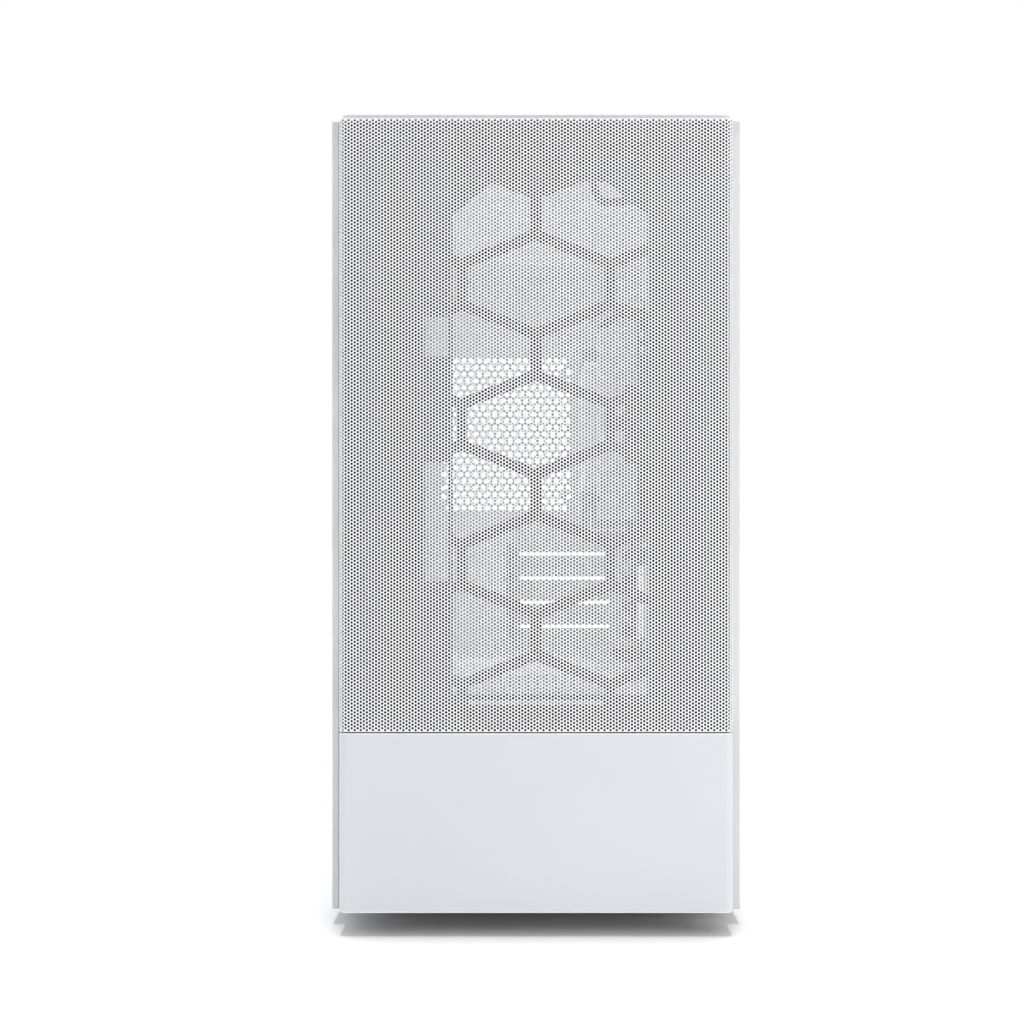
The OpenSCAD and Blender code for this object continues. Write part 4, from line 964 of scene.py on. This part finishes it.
def turnsAlong(way):
    # sideways and up at each spot, with as little turn as can be from the spot before
    turns = []
    side = None
    for i in range(len(way)):
        ahead = (way[min(i + 1, len(way) - 1)] - way[max(i - 1, 0)]).normalized()
        if side is None:
            side = ahead.cross(Vector((0.36, 0.8, 0.48)))
        side = (side - ahead * side.dot(ahead)).normalized()
        turns.append((side, side.cross(ahead)))
    return turns


def around(spot, turn, radius, angle):
    side, up = turn
    return spot + radius * (math.cos(angle) * side + math.sin(angle) * up)


def addTube(bm, way, radius):
    steps = wireShape["steps"]
    last = None
    for spot, turn in zip(way, turnsAlong(way)):
        ring = [bm.verts.new(around(spot, turn, radius, 2 * math.pi * k / steps))
                for k in range(steps)]
        if last:
            joinRings(bm, last, ring)
        else:
            bm.faces.new(ring[::-1])
        last = ring
    bm.faces.new(last)


def wirePlaces(radius, rings):
    # the wires' own radius, and how far out and at what angle each one lies
    inner, outer = rings[0], rings[1:]
    if inner:
        wire = radius / (2 * len(outer) + 1)
        return wire, [(0, 0)] + [(2 * wire * (n + 1), 2 * math.pi * k / many)
                                 for n, many in enumerate(outer) for k in range(many)]
    many = outer[0]
    s = math.sin(math.pi / many)
    wire = radius * s / (1 + s)
    return wire, [(radius - wire, 2 * math.pi * k / many) for k in range(many)]


def makeCable(node, look):
    way = smoothRoute(look["route"])
    wire, places = wirePlaces(look["radius"], look["rings"])
    along = [0.0]
    for a, b in zip(way, way[1:]):
        along.append(along[-1] + (b - a).length)
    turns = turnsAlong(way)
    bm = bmesh.new()
    for off, start in places:
        line = [around(spot, turn, off, start + gone / wireShape["twist"] * 2 * math.pi)
                for spot, turn, gone in zip(way, turns, along)]
        addTube(bm, line, wire * wireShape["fill"])
    piece = pieceFrom(look["name"], bm, "blackWire", "chassis", smooth=True)
    markSharp(piece, 50)
    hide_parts(node)


for cableNode, cableLook in cableLooks.items():
    makeCable(cableNode, cableLook)

# the plugs at the ends of the wires: middle and size in mm, and how many ribs
plugLooks = {
    "boardPlug": {"at": (62.2, -48.55, 279), "size": (9, 8.6, 50), "cells": 12},
    "processorPlug": {"at": (62.2, 154.45, 354), "size": (9, 19.6, 8.6), "cells": 4},
    "drivePlug": {"at": (85.4, -91.05, 25), "size": (6.4, 24, 6), "cells": 0},
    "frontPlug": {"at": (68.6, 37.45, 126), "size": (6, 15, 6.4), "cells": 0},
}
plugShape = {"edge": 0.25, "ribRise": 0.6, "ribShare": 0.42, "ribGap": 0.35, "ribShort": 0.8}


def makePlug(name, look):
    size, at = Vector(look["size"]), Vector(look["at"])
    bm = bmesh.new()
    addBox(bm, at - size / 2, at + size / 2)
    if look["cells"]:
        way = 2 if size.z > size.y else 1
        step = size[way] / look["cells"]
        for k in range(look["cells"]):
            for s in (-1, 1):
                cell = Vector(at)
                cell[way] = at[way] - size[way] / 2 + step * (k + 0.5)
                other = 3 - way
                cell[other] += s * (size[other] / 4)
                wide = Vector((size.x / 2 + plugShape["ribRise"], 0, 0))
                wide[way] = step * plugShape["ribShare"]
                wide[other] = size[other] / 4 - plugShape["ribGap"]
                addBox(bm, cell - wide, cell + wide - Vector((plugShape["ribShort"], 0, 0)))
    piece = pieceFrom(name, bm, "blackPlastic", "chassis")
    bevelled(piece, plugShape["edge"])


for plugName, plugLook in plugLooks.items():
    makePlug(plugName, plugLook)
print("stage: cables made")


# ---- small parts on the board

# places are (down from the top edge, forward from the rear edge) in mm; chips add their width
boardParts = {"seed": 7, "tiny": 420, "clear": 2.5, "tinyPitch": 1.5,
              "cans": [(20, 30), (20, 42), (34, 132), (44, 132), (54, 132), (140, 40), (150, 40),
                       (228, 150), (228, 162), (228, 174), (20, 186), (30, 186), (210, 214),
                       (222, 214)],
              "canR": 3.1, "canH": 8, "chokeHigh": 6, "chokeHalf": 4.2,
              "chipHigh": 1.5, "chipGap": 0.2, "legPitch": 0.9, "legHigh": 0.5, "legHalf": 0.2,
              "legReach": 0.9,
              "chokes": [(24, 58), (24, 70), (24, 82), (24, 94), (24, 106), (24, 118),
                         (58, 34), (70, 34), (82, 34), (94, 34)],
              "chips": [(128, 60, 9), (150, 120, 7), (200, 186, 11), (176, 196, 6), (60, 204, 6),
                        (132, 200, 8), (222, 30, 9)]}


def onBoard(low, high, down, forward):
    return Vector((low.x, high.y - forward, high.z - down))


def taken(spot, boxes, room):
    return any(b[0].y - room < spot.y < b[1].y + room and b[0].z - room < spot.z < b[1].z + room
               for b in boxes)


def makeBoardParts(look):
    low, high = (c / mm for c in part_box("motherboard"))
    boxes = []
    for name in ("processor_socket", "cooler_heatsink", "memory_slots", "expansion_slots",
                 "board_power_sockets", "regulator_heatsink", "chipset_heatsink", "rear_ports",
                 "board_screws"):
        boxes += looseBoxes(name)
    boxes += [(Vector(p["at"]) - Vector(p["size"]) / 2, Vector(p["at"]) + Vector(p["size"]) / 2)
              for p in plugLooks.values()]
    outward = Matrix.Rotation(math.radians(-90), 4, "Y")

    cans = bmesh.new()
    for down, forward in look["cans"]:
        spot = onBoard(low, high, down, forward)
        if taken(spot, boxes, look["canR"]):
            continue
        place = Matrix.Translation(spot) @ outward
        r, h = look["canR"], look["canH"]
        addTurned(cans, [(r, 0), (r, 0.8), (r * 0.93, 1.2), (r, 1.6), (r, h - 0.4), (r - 0.5, h),
                         (r * 0.55, h), (r * 0.5, h - 0.2)], 24, place)
        boxes.append((spot - Vector((0, r, r)), spot + Vector((0, r, r))))
    piece = pieceFrom("boardCans", cans, "castAluminium", "chassis", smooth=True)
    markSharp(piece, 35)

    chokes = bmesh.new()
    for down, forward in look["chokes"]:
        spot = onBoard(low, high, down, forward)
        if taken(spot, boxes, 4):
            continue
        half = Vector((0, look["chokeHalf"], look["chokeHalf"]))
        addBox(chokes, spot - half - Vector((look["chokeHigh"], 0, 0)), spot + half)
        boxes.append((spot - half, spot + half))
    bevelled(pieceFrom("boardChokes", chokes, "greyFerrite", "chassis"), 0.6)

    chips, legs = bmesh.new(), bmesh.new()
    for down, forward, wide in look["chips"]:
        spot = onBoard(low, high, down, forward)
        if taken(spot, boxes, wide / 2 + 1):
            continue
        h = wide / 2
        addBox(chips, spot + Vector((-look["chipHigh"], -h, -h)),
               spot + Vector((-look["chipGap"], h, h)))
        reach, thin, rise = h + look["legReach"], look["legHalf"], look["legHigh"]
        for k in range(int(wide / look["legPitch"])):
            at = -h + 0.7 + k * look["legPitch"]
            if at > h - 0.4:
                break
            addBox(legs, spot + Vector((-rise, at - thin, -reach)), spot + Vector((0, at + thin, reach)))
            addBox(legs, spot + Vector((-rise, -reach, at - thin)), spot + Vector((0, reach, at + thin)))
        room = Vector((0, h + 1, h + 1))
        boxes.append((spot - room, spot + room))
    bevelled(pieceFrom("boardChips", chips, "blackPlastic", "chassis"), 0.15)
    pieceFrom("chipLegs", legs, "nickelPlate", "chassis")

    tiny, ends = bmesh.new(), bmesh.new()
    rng = random.Random(look["seed"])
    for _ in range(look["tiny"]):
        spot = onBoard(low, high, rng.uniform(5, high.z - low.z - 5),
                       rng.uniform(16, high.y - low.y - 5))
        upright = rng.random() < 0.5
        many = rng.choice((1, 1, 2, 3, 4))
        if taken(spot, boxes, look["clear"]):
            continue
        for k in range(many):
            step = k * look["tinyPitch"]
            at = spot + (Vector((0, 0, step)) if upright else Vector((0, step, 0)))
            if taken(at, boxes, 0.8) or at.z > high.z - 3 or at.y > high.y - 3:
                break
            half = Vector((0, 0.9, 0.45)) if upright else Vector((0, 0.45, 0.9))
            addBox(ends, at - half - Vector((0.55, 0, 0)), at + half)
            share = (0.55, 1.06) if upright else (1.06, 0.55)
            middle = Vector((0, half.y * share[0], half.z * share[1]))
            addBox(tiny, at - middle - Vector((0.6, 0, 0)), at + middle)
    pieceFrom("tinyParts", tiny, "greyFerrite", "chassis")
    pieceFrom("tinyPartEnds", ends, "nickelPlate", "chassis")


makeBoardParts(boardParts)
print("stage: board parts made")


# ---- insides of the sockets

# insets in mm, from the outside of a socket's shell to its inside
tongueLook = {"rear": 1.8, "insetLow": (2.5, 4, 2), "insetHigh": (2.5, 2.5, 2), "pairFrom": 16,
              "short": 1, "front": 1.6, "frontHalf": 5.6, "frontLow": 1, "frontHigh": 2.2,
              "edge": 0.2}


def makeTongues(look):
    bm = bmesh.new()
    half = look["rear"] / 2
    for low, high in looseBoxes("rear_ports"):
        low += Vector(look["insetLow"])
        high -= Vector(look["insetHigh"])
        many = 2 if high.x - low.x > look["pairFrom"] else 1
        for k in range(many):
            x = low.x + (high.x - low.x) * (k + 0.5) / many
            addBox(bm, (x - half, low.y, low.z + look["short"]),
                   (x + half, high.y, high.z - look["short"]))
    tongues = pieceFrom("rearPortTongues", bm, "blackPlastic", "chassis")
    bevelled(tongues, look["edge"])

    bm = bmesh.new()
    half, wide = look["front"] / 2, look["frontHalf"]
    for low, high in looseBoxes("usb_ports"):
        mid = (low + high) / 2
        addBox(bm, (mid.x - wide, mid.y - half, low.z + look["frontLow"]),
               (mid.x + wide, mid.y + half, high.z - look["frontHigh"]))
    tongues = pieceFrom("frontPortTongues", bm, "blueTongue", "chassis")
    bevelled(tongues, look["edge"])


makeTongues(tongueLook)
print("stage: sockets made")
